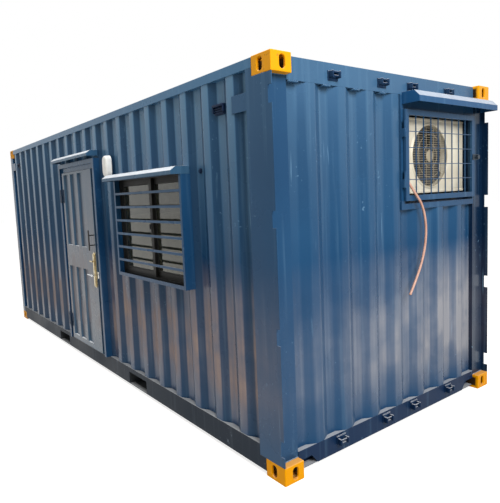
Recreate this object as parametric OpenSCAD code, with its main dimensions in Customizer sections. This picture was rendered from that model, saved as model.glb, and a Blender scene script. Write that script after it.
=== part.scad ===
// Steel site office made from a twenty foot freight container.
// X runs along the length towards the air conditioner end, the door and window
// face -Y, Z is up, and the origin is on the ground between the four bottom castings.

/* [Shell] */
// overall length over the corner castings
shell_l = 6058; // [6040:1:6080]
// overall width over the corner castings
shell_w = 2438; // [2430:1:2450]
// overall height from the ground to the top castings
shell_h = 2591; // [2580:1:2610]
// how far the air conditioner end stands back from the casting faces
end_back = 50; // [46:1:60]
// length of a corner post along the side at the air conditioner end
post_l = 234; // [224:1:244]
// length of a corner post along the side at the blind end
blind_post_l = 112; // [106:1:118]
// plate of the corner posts
post_t = 6; // [4:0.5:8]

/* [Corner castings] */
// length of a casting along X
cast_l = 178; // [170:1:186]
// width of a casting along Y
cast_w = 162; // [156:1:170]
// height of a casting
cast_h = 118; // [112:1:124]
// wall of a casting
cast_t = 20; // [14:1:26]
// length of the twistlock slot
slot_l = 124.5; // [120:0.5:130]
// width of the twistlock slot
slot_w = 63.5; // [58:0.5:66]
// height of the upright holes in the side and end faces
hole_h = 80; // [70:1:86]
// width of the upright holes in the side and end faces
hole_w = 46; // [40:1:54]

/* [Rails] */
// height of the bottom side rail
rail_h = 162; // [156:1:166]
// underside of the bottom side rail above the ground
rail_z = 30; // [26:1:34]
// flange width of the bottom side rail
rail_d = 48; // [42:1:56]
// plate of the bottom side rail
rail_t = 4.5; // [3:0.5:6]
// size of the square top side rail
top_rail = 60; // [54:1:66]
// wall of the top side rail, the headers and the sills
tube_t = 4; // [3:0.5:5]
// depth of the headers and sills along X
end_d = 60; // [52:1:64]
// height of the header at the air conditioner end
header_h = 139; // [134:1:144]
// top of the sill at the air conditioner end
sill_top = 152; // [146:1:158]
// distance between the cross members
member_gap = 330; // [300:5:340]
// width of a cam keeper
keeper_w = 90; // [80:1:100]
// height of a cam keeper
keeper_h = 56; // [50:1:60]
// reach of a cam keeper
keeper_d = 42; // [36:1:46]

/* [Corrugation] */
// distance from fold to fold of the wall sheet
pitch = 283; // [280:1:286]
// width of an outer flat
flat = 72; // [66:1:78]
// run of a sloping face
slope = 68; // [62:1:72]
// depth of the folds
depth = 36; // [30:1:40]
// wall sheet
sheet_t = 2; // [1.6:0.2:3]
// left edge of the first outer flat on the front wall
phase = 43; // [38:1:48]
// height of the plates that bridge the last folds
gusset_h = 108; // [96:1:116]
// distance of those plates below the top castings
gusset_drop = 79; // [70:1:88]
// plate thickness there
gusset_t = 4.5; // [3:0.5:4.5]
// height of a ventilator
vent_h = 76; // [68:1:84]
// half width of a ventilator
vent_w = 62; // [56:1:66]

/* [Floor] */
// floor board thickness
board_t = 28; // [24:1:32]
// top of the floor above the ground
floor_z = 178; // [175:1:182]
// distance of a fork pocket from the middle
fork_x = 1025; // [1000:5:1050]
// inside width of a fork pocket
fork_w = 352; // [340:1:362]

/* [Door] */
// middle of the doorway along X
door_x = -119; // [-130:1:-110]
// width over the door frame
door_w = 1077; // [1060:1:1090]
// distance of the door frame below the top of the wall
door_drop = 320; // [310:1:330]
// how far the door frame stands out from the wall
door_out = 52; // [48:1:58]
// width of the front lip of the frame
frame_lip = 44; // [38:1:48]
// width of the frame up to the leaf
frame_w = 94; // [90:1:100]
// depth of the frame
frame_d = 105; // [100:1:115]
// set-back of the step in the frame
frame_step = 24; // [20:1:28]
// width of the door stop
stop_w = 35; // [30:1:40]
// plate of the frame
frame_t = 3; // [2:0.5:3]
// leaf thickness
leaf_t = 48; // [40:1:50]
// gap round the leaf
leaf_gap = 5; // [5:0.5:7]
// depth of the pressed panels in the leaf
groove_d = 20; // [14:0.5:24]
// width of the pressed panels
panel_w = 150; // [130:1:160]
// diameter of the hinge pins
pin_d = 8; // [6:0.5:10]
// running clearance round the pins and the lever spindle
pin_gap = 0.05; // [0.02:0.01:0.1]
// diameter of the lever spindle
spindle_d = 12; // [10:0.5:14]
// lever height above the foot of the leaf
lever_h = 822; // [790:1:850]
// width of the lock plate
plate_w = 46; // [40:1:50]
// height of the lock plate
plate_h = 364; // [340:1:380]
// height of the pull handle
pull_h = 204; // [190:1:220]
// how far the pull handle stands out
pull_out = 56; // [50:1:62]
// width of the lamp beside the door
lamp_w = 110; // [100:1:120]
// height of the lamp beside the door
lamp_h = 206; // [190:1:220]

/* [Window] */
// middle of the window along X
win_x = 1520; // [1510:1:1530]
// width over the window surround
win_w = 1170; // [1150:1:1190]
// distance of the window surround below the top of the wall
win_drop = 545; // [535:1:555]
// height of the window surround
win_h = 874; // [860:1:880]
// how far the surround stands out from the wall
win_out = 79; // [70:1:84]
// front flange of the surround
win_flange = 28; // [24:1:32]
// number of guard bars
bars = 6; // [5:1:7]
// width of the aluminium window profile
sash_w = 42; // [36:1:48]

/* [Air conditioner] */
// width of the opening
ac_w = 955; // [950:1:960]
// height of the opening
ac_h = 691; // [685:1:697]
// distance of the opening below the header
ac_drop = 94; // [90:1:98]
// width of the frame beside the opening on the hinge side
ac_jamb = 45; // [42:1:52]
// height of the frame under the opening
ac_sill = 44; // [38:1:50]
// depth of the recess
ac_deep = 420; // [410:1:440]
// width of the air conditioner
unit_w = 805; // [790:1:815]
// height of the air conditioner
unit_h = 575; // [560:1:585]
// depth of the air conditioner
unit_d = 300; // [280:1:310]
// height of the feet of the air conditioner
foot_h = 72; // [64:1:76]
// fan opening diameter
fan_d = 480; // [460:1:490]
// width of the gate profile
gate_p = 40; // [34:1:44]
// thickness of the gate profile
gate_t = 18; // [14:1:20]
// gap between the gate and the frame behind it
gate_gap = 5; // [5:0.5:8]
// diameter of the upright gate rods
rod_d = 9; // [7:0.5:11]
// diameter of the drain hose
hose_d = 18; // [15:0.5:20]

/* [Canopies] */
// reach of the door canopy
door_hood = 116; // [108:1:124]
// reach of the window canopy
win_hood = 158; // [150:1:166]
// reach of the air conditioner canopy
ac_hood = 142; // [134:1:150]
// height of the door and window canopies
hood_h = 56; // [50:1:60]
// height of the air conditioner canopy
ac_hood_h = 85; // [78:1:90]
// run of the sloped front edge of the canopies
hood_cut = 42; // [36:1:46]
// how far the canopies overhang the frame below
hood_over = 56; // [50:1:62]
// canopy sheet
hood_t = 2; // [1.5:0.5:3]

/* [Hidden] */
$fn = 48;
hx = shell_l / 2;
hy = shell_w / 2;
face_x = hx - end_back;
wall_y = hy - 5;
post_x = hx - post_l;
far_x = blind_post_l - hx;
in_y = hy - cast_w;
in_x = hx - cast_l;
rail_top = rail_z + rail_h;
top_z = shell_h - 6;
wall_top = top_z - top_rail;
cast_top = shell_h - cast_h;
header_z = top_z - header_h;
gusset_z = cast_top - gusset_drop - gusset_h;
blind_x = -hx + 5;
door_x0 = door_x - door_w / 2;
door_x1 = door_x + door_w / 2;
door_top = wall_top - door_drop;
sill_t = 6;
leaf_in = 4;
door_y = -wall_y - door_out;
leaf_x0 = door_x0 + frame_w + leaf_gap;
leaf_x1 = door_x1 - frame_w - leaf_gap;
leaf_z0 = rail_top + sill_t + leaf_gap + 3;
leaf_z1 = door_top - frame_w - leaf_gap;
leaf_h = leaf_z1 - leaf_z0;
leaf_y = door_y + leaf_in;
stop_d = leaf_in + leaf_t + leaf_gap + 2;
lever_z = leaf_z0 + lever_h;
lock_x = leaf_x1 - 34;
hinge_z = [leaf_z0 + 210, leaf_z1 - 256];
door_axis_x = leaf_x0 - 16;
door_axis_y = leaf_y - 10;
win_z = wall_top - win_drop - win_h;
win_x0 = win_x - win_w / 2;
win_x1 = win_x + win_w / 2;
win_y = -wall_y - win_out;
win_t = 6;
ac_y1 = in_y - 7;
ac_y0 = ac_y1 - ac_w;
ac_z1 = header_z - ac_drop;
ac_z0 = ac_z1 - ac_h;
unit_y1 = ac_y1 - 31;
unit_z0 = ac_z0 + foot_h;
unit_x1 = face_x - 70;
fan_y = unit_y1 - unit_w + 318;
fan_z = unit_z0 + unit_h / 2;
gate_x0 = face_x + 4 + gate_gap;
gate_x1 = gate_x0 + gate_t;
gate_y0 = ac_y0 - 21;
gate_y1 = ac_y1 - 16;
gate_z0 = ac_z0 + 20;
gate_z1 = ac_z1 - 8;
gate_axis_x = gate_x1 + 2;
gate_axis_y = gate_y0 - 14;
gate_hinge_z = [gate_z0 + 160, gate_z1 - 138];
hose_x = gate_x1 + 11;
seam = 0.2;
roof_pitch = 209;
roof_flat = 60;
roof_slope = 28;
roof_depth = 20;

// box between two corners
module span(a, b) {
    translate([min(a[0], b[0]), min(a[1], b[1]), min(a[2], b[2])])
        cube([abs(b[0] - a[0]), abs(b[1] - a[1]), abs(b[2] - a[2])]);
}

// depth of a folded sheet at x, with whole outer flats only between lo and hi
function fold(x, from, p, f, s, d, lo, hi) =
    let (x0 = from + floor((x - from + s) / p) * p, v = x - x0)
    x0 - s < lo || x0 + f + s > hi ? d
        : v < 0 ? -d * v / s : v <= f ? 0 : v < f + s ? d * (v - f) / s : d;

// corner points of a folded sheet from a to b
function fold_path(a, b, from, p, f, s, d, lo, hi) = concat(
    [[a, fold(a, from, p, f, s, d, lo, hi)]],
    [for (k = [floor((a - from) / p) - 1 : ceil((b - from) / p) + 1])
        let (x0 = from + k * p) if (x0 - s >= lo && x0 + f + s <= hi)
            for (q = [[x0 - s, d], [x0, 0], [x0 + f, 0], [x0 + f + s, d]])
                if (q[0] > a + 1 && q[0] < b - 1) q],
    [[b, fold(b, from, p, f, s, d, lo, hi)]]);

function thick(path, t) = concat(path, [for (i = [len(path) - 1 : -1 : 0]) path[i] + [0, t]]);

// wall sheet along X with its outer flats at y = 0 and the folds going to +Y
module sheet(a, b, z0, z1, from, lo, hi) {
    translate([0, 0, z0]) linear_extrude(height = z1 - z0)
        polygon(thick(fold_path(a, b, from, pitch, flat, slope, depth, lo, hi), sheet_t));
}

module upright_hole(len) {
    // slot through a casting wall, along Y from y = 0
    rotate([-90, 0, 0]) linear_extrude(height = len) {
        translate([-hole_w / 2, -(hole_h - hole_w) / 2]) square([hole_w, hole_h - hole_w]);
        for (s = [-1, 1]) translate([0, s * (hole_h - hole_w) / 2]) circle(d = hole_w);
    }
}

module casting() {
    // corner casting with its outer corner at +X, +Y and the slot in the face at z = 0
    difference() {
        translate([hx - cast_l, hy - cast_w, 0]) cube([cast_l, cast_w, cast_h]);
        translate([hx - cast_l + cast_t, hy - cast_w + cast_t, cast_t])
            cube([cast_l - 2 * cast_t, cast_w - 2 * cast_t, cast_h - 2 * cast_t]);
        translate([slot_x, slot_y, -1]) linear_extrude(height = cast_t + 2) {
            translate([-(slot_l - slot_w) / 2, -slot_w / 2]) square([slot_l - slot_w, slot_w]);
            for (s = [-1, 1]) translate([s * (slot_l - slot_w) / 2, 0]) circle(d = slot_w);
        }
        translate([slot_x, hy - cast_t - 1, cast_h / 2]) upright_hole(cast_t + 2);
        translate([hx - cast_t - 1, slot_y, cast_h / 2]) rotate([0, 0, -90]) upright_hole(cast_t + 2);
    }
}
slot_x = hx - 102.5;
slot_y = hy - 89.5;

module bottom_corner_castings() {
    color("#d69a1c") for (a = [0, 1], b = [0, 1]) mirror([a, 0, 0]) mirror([0, b, 0]) casting();
}

module top_corner_castings() {
    color("#d69a1c") for (a = [0, 1], b = [0, 1]) mirror([a, 0, 0]) mirror([0, b, 0])
        translate([0, 0, shell_h]) mirror([0, 0, 1]) casting();
}

// square post between castings with the corner of the shell at +X, +Y
module post_tube(x1) {
    difference() {
        union() {
            span([post_x, in_y, cast_h], [x1, hy, cast_top]);
            span([post_x, in_y, cast_h], [in_x, hy, wall_top]);
        }
        span([post_x + post_t, in_y + post_t, cast_h - 1], [x1 - post_t, hy - post_t, cast_top + 1]);
        span([post_x + post_t, in_y + post_t, cast_h - 1], [in_x - post_t, hy - post_t, wall_top + 1]);
    }
}

module blind_end_posts() {
    color("#2a4a78") for (b = [0, 1]) mirror([0, b, 0]) difference() {
        span([blind_x, in_y, cast_h], [far_x, hy, cast_top]);
        span([blind_x + post_t, in_y + post_t, cast_h - 1], [far_x - post_t, hy - post_t, cast_top + 1]);
    }
}

module ac_end_post() {
    // outer lip with four cut-backs where the cargo door hinges sat
    post_tube(face_x - 4);
    difference() {
        span([face_x - 5, hy - 8, cast_h], [hx - 2, hy, cast_top]);
        for (k = [0.0272, 0.3227, 0.6217, 0.9253]) let (z = cast_h + k * (cast_top - cast_h))
            span([hx - 32, hy - 9, z], [hx, hy + 1, z + 102]);
    }
}

module ac_end_post_left() { color("#2a4a78") mirror([0, 1, 0]) ac_end_post(); }
module ac_end_post_right() { color("#2a4a78") ac_end_post(); }

// bottom rail on the +Y side, a channel open towards the middle with fork openings
module bottom_rail() {
    difference() {
        span([far_x, hy - rail_d, rail_z], [in_x, hy, rail_top]);
        span([far_x - 1, hy - rail_d - 1, rail_z + rail_t], [in_x + 1, hy - rail_t, rail_top - rail_t]);
        span([post_x, in_y - 1, cast_h], [hx, hy + 1, shell_h]);
        span([-hx, in_y - 1, -1], [-in_x, hy + 1, cast_h]);
        for (s = [-1, 1]) translate([s * fork_x, 0, 0])
            span([-fork_w / 2, hy - rail_t - 1, rail_z + rail_t + 2], [fork_w / 2, hy + 1, floor_z - board_t - tube_t]);
    }
}

module bottom_side_rail_front() { color("#27425f") mirror([0, 1, 0]) bottom_rail(); }
module bottom_side_rail_back() { color("#27425f") bottom_rail(); }

module top_side_rails() {
    color("#2a4a78") for (b = [0, 1]) mirror([0, b, 0]) difference() {
        span([-in_x, hy - top_rail, wall_top], [in_x, hy, top_z]);
        span([-in_x - 1, hy - top_rail + tube_t, wall_top + tube_t], [in_x + 1, hy - tube_t, top_z - tube_t]);
    }
}

module beam(x0, x1, z0, z1) {
    difference() {
        span([x0, -in_y, z0], [x1, in_y, z1]);
        span([x0 + tube_t, -in_y - 1, z0 + tube_t], [x1 - tube_t, in_y + 1, z1 - tube_t]);
    }
}

module blind_end_header() { color("#2a4a78") beam(blind_x, blind_x + end_d, wall_top - 20, top_z); }
module blind_end_sill() { color("#27425f") beam(blind_x, blind_x + end_d, rail_z, sill_top); }
module ac_end_header() { color("#2a4a78") beam(face_x - end_d, face_x, header_z, top_z); }

module ac_end_sill() {
    // lower corners cut away beside the castings
    color("#27425f") difference() {
        beam(face_x - end_d, face_x, rail_z - 6, sill_top);
        for (b = [0, 1]) mirror([0, b, 0]) translate([face_x - tube_t - 1, 0, 0]) rotate([90, 0, 90])
            linear_extrude(height = tube_t + 2)
                polygon([[in_y - 172, rail_z - 7], [in_y - 118, 88], [in_y + 1, 88], [in_y + 1, rail_z - 7]]);
    }
}

module keeper() {
    // cam keeper, a base plate with two ears and a lip
    translate([0, -keeper_w / 2, -keeper_h / 2]) cube([8, keeper_w, keeper_h]);
    for (b = [-1, 1]) translate([8, b * (keeper_w / 2 - 11) - 7, -keeper_h / 2]) cube([keeper_d - 8, 14, keeper_h - 10]);
    translate([8, 18 - keeper_w / 2, -keeper_h / 2]) cube([keeper_d / 2, keeper_w - 36, 12]);
}

module cam_keepers() {
    color("#2a4a78") for (k = [-0.624, -0.156, 0.166, 0.624]) translate([face_x, k * in_y, 0]) {
        translate([0, 0, top_z - 80]) mirror([0, 0, 1]) keeper();
        translate([0, 0, sill_top - 46]) keeper();
    }
}

module cross_members() {
    last = floor((in_x - 100) / member_gap);
    color("#23303f") for (i = [-last : last]) let (x = i * member_gap) if (abs(abs(x) - fork_x) > fork_w / 2 + 60)
        difference() {
            span([x - 22, -hy + rail_t, rail_z + rail_t], [x + 22, hy - rail_t, floor_z - board_t]);
            span([x - 18, -hy, rail_z + rail_t + tube_t], [x + 23, hy, floor_z - board_t - tube_t]);
        }
}

module fork_pockets() {
    // arched tubes right across the base with a strap under each mouth
    color("#1d2732") for (s = [-1, 1]) translate([s * fork_x, 0, 0]) {
        difference() {
            span([-fork_w / 2 - tube_t, -hy + rail_t, rail_z + rail_t], [fork_w / 2 + tube_t, hy - rail_t, floor_z - board_t]);
            span([-fork_w / 2, -hy, rail_z], [fork_w / 2, hy, floor_z - board_t - tube_t]);
        }
        for (b = [-1, 1]) span([-fork_w / 2, b * (hy - rail_d), rail_z], [fork_w / 2, b * (hy - rail_d - 150), rail_z + 6]);
    }
}

module floor_boards() {
    color("#6d5238") difference() {
        span([blind_x + end_d, -hy + rail_t, floor_z - board_t], [face_x - end_d, hy - rail_t, floor_z]);
        for (b = [0, 1]) mirror([0, b, 0]) {
            span([post_x, in_y, 0], [hx, hy, shell_h]);
            span([-hx, in_y, 0], [far_x, hy, shell_h]);
        }
    }
}

module roof_panel() {
    color("#2a4a78") difference() {
        translate([0, -hy + top_rail, top_z]) rotate([-90, 0, 0])
            linear_extrude(height = shell_w - 2 * top_rail)
                polygon(thick(fold_path(blind_x + end_d, face_x - end_d, -30, roof_pitch, roof_flat, roof_slope, roof_depth, -hx, hx), sheet_t));
        for (a = [0, 1], b = [0, 1]) mirror([a, 0, 0]) mirror([0, b, 0])
            span([in_x, in_y, 0], [hx, hy, shell_h]);
    }
}

module front_sheet(a, b, z0, z1) {
    // stops under the top casting at the blind end
    color("#2a4a78") difference() {
        translate([0, -wall_y, 0]) sheet(a, b, z0, z1, phase, far_x, post_x);
        if (a < -in_x) span([-hx, -hy, cast_top], [-in_x, 0, shell_h]);
    }
}

module back_wall() {
    mirror([0, 1, 0]) front_sheet(far_x, post_x, rail_top, wall_top);
}

module blind_end_wall() {
    color("#2a4a78") translate([blind_x + 4, 0, 0]) rotate([0, 0, -90]) sheet(-in_y, in_y, sill_top, wall_top - 20, -flat / 2, -in_y, in_y);
}

module front_wall_left() { front_sheet(far_x, door_x0, rail_top, wall_top); }
module front_wall_over_door() { front_sheet(door_x0, door_x1, door_top, wall_top); }
module front_wall_between() { front_sheet(door_x1, win_x0, rail_top, wall_top); }
module front_wall_over_window() { front_sheet(win_x0, win_x1, win_z + win_h, wall_top); }
module front_wall_under_window() { front_sheet(win_x0, win_x1, rail_top, win_z); }
module front_wall_right() { front_sheet(win_x1, post_x, rail_top, wall_top); }

module end_sheet(a, b, z0, z1) {
    color("#2a4a78") translate([face_x, 0, 0]) rotate([0, 0, 90]) sheet(a, b, z0, z1, 448 - in_y, -in_y, in_y);
}

module ac_end_wall() { end_sheet(-in_y, ac_y0 - ac_jamb, sill_top, header_z); }
module ac_end_wall_lower() { end_sheet(ac_y0 - ac_jamb, in_y, sill_top, ac_z0 - ac_sill); }

// right edge of the last outer flat and left edge of the first one on the front wall
last_flat = phase + floor((post_x - flat - slope - phase) / pitch) * pitch + flat;
first_flat = phase + ceil((far_x + slope - phase) / pitch) * pitch;

module corner_gussets() {
    color("#2a4a78") for (b = [0, 1]) mirror([0, b, 0]) {
        span([last_flat - 14, -wall_y - gusset_t, gusset_z], [post_x, -wall_y, gusset_z + gusset_h]);
        span([far_x, -wall_y - gusset_t, gusset_z], [first_flat + 14, -wall_y, gusset_z + gusset_h]);
    }
}

module vent(x) {
    // moulded ventilator filling a hollow of the wall
    translate([x, -wall_y, gusset_z + (gusset_h - vent_h) / 2]) linear_extrude(height = vent_h)
        polygon([[28 - vent_w, depth], [vent_w - 28, depth], [vent_w, 6], [vent_w - 6, 2], [6 - vent_w, 2], [-vent_w, 6]]);
}

module wall_vents() {
    color("#1f2f4a") {
        vent(last_flat - flat / 2 - pitch / 2);
        vent(first_flat + flat / 2 + pitch / 2);
    }
}

module stadium(w, h) {
    translate([-w / 2, -(h - w) / 2]) square([w, h - w]);
    for (s = [-1, 1]) translate([0, s * (h - w) / 2]) circle(d = w);
}

module bulkhead_light() {
    color("#e8e6df") translate([(door_x1 + win_x0) / 2 + 18, -wall_y, door_top - lamp_h / 2]) rotate([90, 0, 0]) {
        linear_extrude(height = 16) stadium(lamp_w, lamp_h);
        translate([0, 0, 16]) linear_extrude(height = 26) stadium(lamp_w - 6, lamp_h - 6);
        translate([0, 0, 42]) linear_extrude(height = 14) stadium(lamp_w - 26, lamp_h - 26);
    }
}

// pressed steel door frame profile, u from the outer edge, v inwards from the front
module frame_profile() {
    square([frame_t, frame_d]);
    square([frame_lip, frame_t]);
    translate([frame_lip - frame_t, 0]) square([frame_t, frame_step + frame_t]);
    translate([frame_lip - frame_t, frame_step]) square([frame_w - frame_lip + frame_t, frame_t]);
    translate([frame_w - frame_t, frame_step]) square([frame_t, stop_d - frame_step + frame_t]);
    translate([frame_w - frame_t, stop_d]) square([stop_w + frame_t, frame_t]);
    translate([frame_w + stop_w - frame_t, stop_d]) square([frame_t, frame_d - stop_d]);
}

module door_frame() {
    color("#2f4a6c") {
        translate([door_x0, door_y, rail_top]) linear_extrude(height = door_top - rail_top) frame_profile();
        translate([door_x1, door_y, rail_top]) mirror([1, 0, 0])
            linear_extrude(height = door_top - rail_top) frame_profile();
        translate([door_x0, door_y, door_top]) rotate([90, 0, 90]) linear_extrude(height = door_w)
            rotate([0, 0, -90]) frame_profile();
        span([door_x0 + frame_w - frame_t, door_y + frame_step - 4, rail_top], [door_x1 - frame_w + frame_t, door_y + frame_d, rail_top + sill_t]);
    }
}

module door_hinge_lugs() {
    // fixed lower knuckles with their arms on the frame step
    color("#39434f") for (z = hinge_z) difference() {
        union() {
            translate([door_axis_x, door_axis_y, z - 76]) cylinder(d = 17, h = 75.6);
            span([door_axis_x - 8, door_axis_y, z - 76], [door_axis_x - 1, door_y + frame_step, z - 0.4]);
        }
        translate([door_axis_x, door_axis_y, z - 37]) cylinder(d = pin_d + 2 * pin_gap, h = 60);
    }
}

module door_hinge_straps() {
    // upper knuckles with pins dropping into the lugs and straps on the leaf
    color("#39434f") for (z = hinge_z) {
        translate([door_axis_x, door_axis_y, z]) cylinder(d = 17, h = 74);
        translate([door_axis_x, door_axis_y, z - 36]) cylinder(d = pin_d, h = 40);
        span([door_axis_x, leaf_y - 6, z], [leaf_x0 + 30, leaf_y, z + 74]);
    }
}

// pressed panels of the leaf, grown by g for the inner face of the sheet
module grooves(g) {
    for (u = [0.063, 0.305, 0.553], k = [[0.576, 0.988], [0.027, 0.45]])
        translate([leaf_x0 + u * (leaf_x1 - leaf_x0), leaf_y, leaf_z0 + k[0] * leaf_h - g]) linear_extrude(height = (k[1] - k[0]) * leaf_h + 2 * g)
            polygon([[-g - 1, -1], [-g, 0], [10 - g, groove_d + g], [panel_w - 10 + g, groove_d + g], [panel_w + g, 0], [panel_w + g + 1, -1]]);
}

module door_leaf() {
    // two pressed steel skins, open at the foot, with a block for the lock
    color("#31507a") difference() {
        span([leaf_x0, leaf_y, leaf_z0], [leaf_x1, leaf_y + leaf_t, leaf_z1]);
        grooves(0);
        difference() {
            span([leaf_x0 + sheet_t, leaf_y + sheet_t, leaf_z0 - 1], [leaf_x1 - sheet_t, leaf_y + leaf_t - sheet_t, leaf_z1 - sheet_t]);
            grooves(sheet_t);
            span([lock_x - 24, leaf_y, lever_z - 40], [lock_x + 24, leaf_y + leaf_t, lever_z + 40]);
        }
        translate([lock_x, leaf_y - 1, lever_z]) rotate([-90, 0, 0]) cylinder(d = spindle_d + 2 * pin_gap, h = 22.4);
    }
}

module door_lock_plate() {
    color("#b48a4a") difference() {
        union() {
            translate([lock_x, leaf_y, lever_z + 52]) rotate([90, 0, 0]) linear_extrude(height = 10) stadium(plate_w, plate_h);
            translate([lock_x, leaf_y - 10, lever_z + 52]) rotate([90, 0, 0]) linear_extrude(height = 10) stadium(plate_w - 16, plate_h - 24);
            translate([lock_x, leaf_y - 20, lever_z + 142]) rotate([90, 0, 0]) cylinder(d = 18, h = 12);
            span([lock_x - 60, leaf_y - 38, lever_z + 136], [lock_x + 9, leaf_y - 32, lever_z + 148]);
        }
        translate([lock_x, leaf_y + 1, lever_z]) rotate([90, 0, 0]) cylinder(d = spindle_d + 2 * pin_gap, h = 40);
    }
}

module door_lever() {
    color("#c9ccd0") {
        translate([lock_x, leaf_y + 20, lever_z]) rotate([90, 0, 0]) cylinder(d = spindle_d, h = 57);
        translate([lock_x, leaf_y - 26, lever_z]) rotate([90, 0, 0]) cylinder(d = 26, h = 8);
        translate([lock_x, leaf_y - 37, lever_z]) rotate([90, 0, 0]) cylinder(d = 20, h = 14);
        translate([lock_x, leaf_y - 44, lever_z]) rotate([0, -90, 0]) cylinder(d = 14, h = 118);
        translate([lock_x - 118, leaf_y - 44, lever_z]) sphere(d = 14);
    }
}

module door_pull_handle() {
    color("#17181a") {
        pull_z = lever_z + 258;
        for (z = [pull_z + pull_h / 4, pull_z + pull_h * 3 / 4]) translate([leaf_x1 - 24, leaf_y, z]) rotate([90, 0, 0]) cylinder(d = 11, h = pull_out);
        translate([leaf_x1 - 24, leaf_y - pull_out, pull_z]) cylinder(d = 15, h = pull_h);
    }
}

// folded canopy section, reach r from the wall, height h, with a sloped front edge
module hood_section(r, h, cut) {
    drop = h / 2 + 1;
    polygon([[0, h], [r - cut, h], [r, h - drop], [r, 0], [r - hood_t, 0], [r - hood_t, h - drop - 1],
        [r - cut - 1, h - hood_t], [0, h - hood_t]]);
}
module hood_cheek(r, h, cut) {
    drop = h / 2 + 1;
    polygon([[0, h], [r - cut, h], [r, h - drop], [r, 0], [0, 0]]);
}

module front_hood(x0, x1, z, r) {
    translate([x0, -wall_y, z]) mirror([0, 1, 0]) rotate([90, 0, 90]) {
        linear_extrude(height = x1 - x0) hood_section(r, hood_h, hood_cut);
        linear_extrude(height = hood_t) hood_cheek(r, hood_h, hood_cut);
        translate([0, 0, x1 - x0 - hood_t]) linear_extrude(height = hood_t) hood_cheek(r, hood_h, hood_cut);
    }
}

module door_canopy() { color("#34527c") front_hood(door_x0 - hood_over, door_x1 + hood_t, door_top + 21, door_hood); }
module window_canopy() { color("#34527c") front_hood(win_x0 - hood_over - 8, win_x1 + hood_t, win_z + win_h - 30, win_hood); }

module ac_canopy() {
    right = in_y + 123;
    wide = right - ac_y0 + 25;
    color("#34527c") translate([face_x, right, header_z - 66]) rotate([90, 0, 0]) {
        linear_extrude(height = wide) hood_section(ac_hood, ac_hood_h, hood_cut);
        linear_extrude(height = hood_t) hood_cheek(ac_hood, ac_hood_h, hood_cut);
        translate([0, 0, wide - hood_t]) linear_extrude(height = hood_t) hood_cheek(ac_hood, ac_hood_h, hood_cut);
    }
}

module ring(x0, x1, z0, z1, y0, y1, w) {
    difference() {
        span([x0, y0, z0], [x1, y1, z1]);
        span([x0 + w, y0 - 1, z0 + w], [x1 - w, y1 + 1, z1 - w]);
    }
}

module window_surround() {
    color("#34527c") {
        ring(win_x0, win_x1, win_z, win_z + win_h, win_y, -wall_y + depth + 4, win_t);
        ring(win_x0, win_x1, win_z, win_z + win_h, win_y, win_y + win_t, win_flange);
    }
}

module window_bars() {
    color("#4a5d75") for (i = [1 : bars]) let (z = win_z + win_flange + i * (win_h - 2 * win_flange) / (bars + 1))
        span([win_x0 + win_flange, win_y, z - 10], [win_x1 - win_flange, win_y + 6, z + 10]);
}

sash_y = -wall_y + 2;

module window_sashes() {
    // outer aluminium frame and two sliding sashes, the left one on the outer track
    color("#1b1d20") {
        ring(win_x0 + win_t, win_x1 - win_t, win_z + win_t, win_z + win_h - win_t, sash_y - 28, sash_y + 32, 26);
        ring(win_x0 + win_t + 26, win_x + sash_w / 2, win_z + win_t + 26, win_z + win_h - win_t - 26, sash_y - 22, sash_y, sash_w);
        ring(win_x - sash_w / 2, win_x1 - win_t - 26, win_z + win_t + 26, win_z + win_h - win_t - 26, sash_y + 4, sash_y + 26, sash_w);
    }
}

module window_glass() {
    color("#6f7d84") {
        span([win_x0 + win_t + 26 + sash_w, sash_y - 14, win_z + win_t + 26 + sash_w],
            [win_x - sash_w / 2, sash_y - 9, win_z + win_h - win_t - 26 - sash_w]);
        span([win_x + sash_w / 2, sash_y + 12, win_z + win_t + 26 + sash_w],
            [win_x1 - win_t - 26 - sash_w, sash_y + 17, win_z + win_h - win_t - 26 - sash_w]);
    }
}

module ac_opening_frame() {
    color("#34527c") {
        span([face_x - depth - 4, ac_y0 - ac_jamb, ac_z0 - ac_sill], [face_x + 4, in_y, ac_z0]);
        span([face_x - depth - 4, ac_y0 - ac_jamb, ac_z1], [face_x, in_y, header_z]);
        span([face_x - depth - 4, ac_y0 - ac_jamb, ac_z0], [face_x + 4, ac_y0, ac_z1]);
        span([face_x - depth - 4, ac_y1, ac_z0], [face_x, in_y, ac_z1]);
    }
}

module ac_recess() {
    // five sheets behind the opening, meeting at welded seams
    x0 = face_x - ac_deep;
    x1 = face_x - depth - 4;
    color("#1f3557") {
        span([x0, ac_y0 - sheet_t, ac_z0 - sheet_t], [x0 + sheet_t, ac_y1 + sheet_t, ac_z1 + sheet_t]);
        for (y = [ac_y0 - sheet_t, ac_y1])
            span([x0 + sheet_t + seam, y, ac_z0 - sheet_t], [x1, y + sheet_t, ac_z1 + sheet_t]);
        for (z = [ac_z0 - sheet_t, ac_z1])
            span([x0 + sheet_t + seam, ac_y0 + seam, z], [x1, ac_y1 - seam, z + sheet_t]);
    }
}

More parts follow.
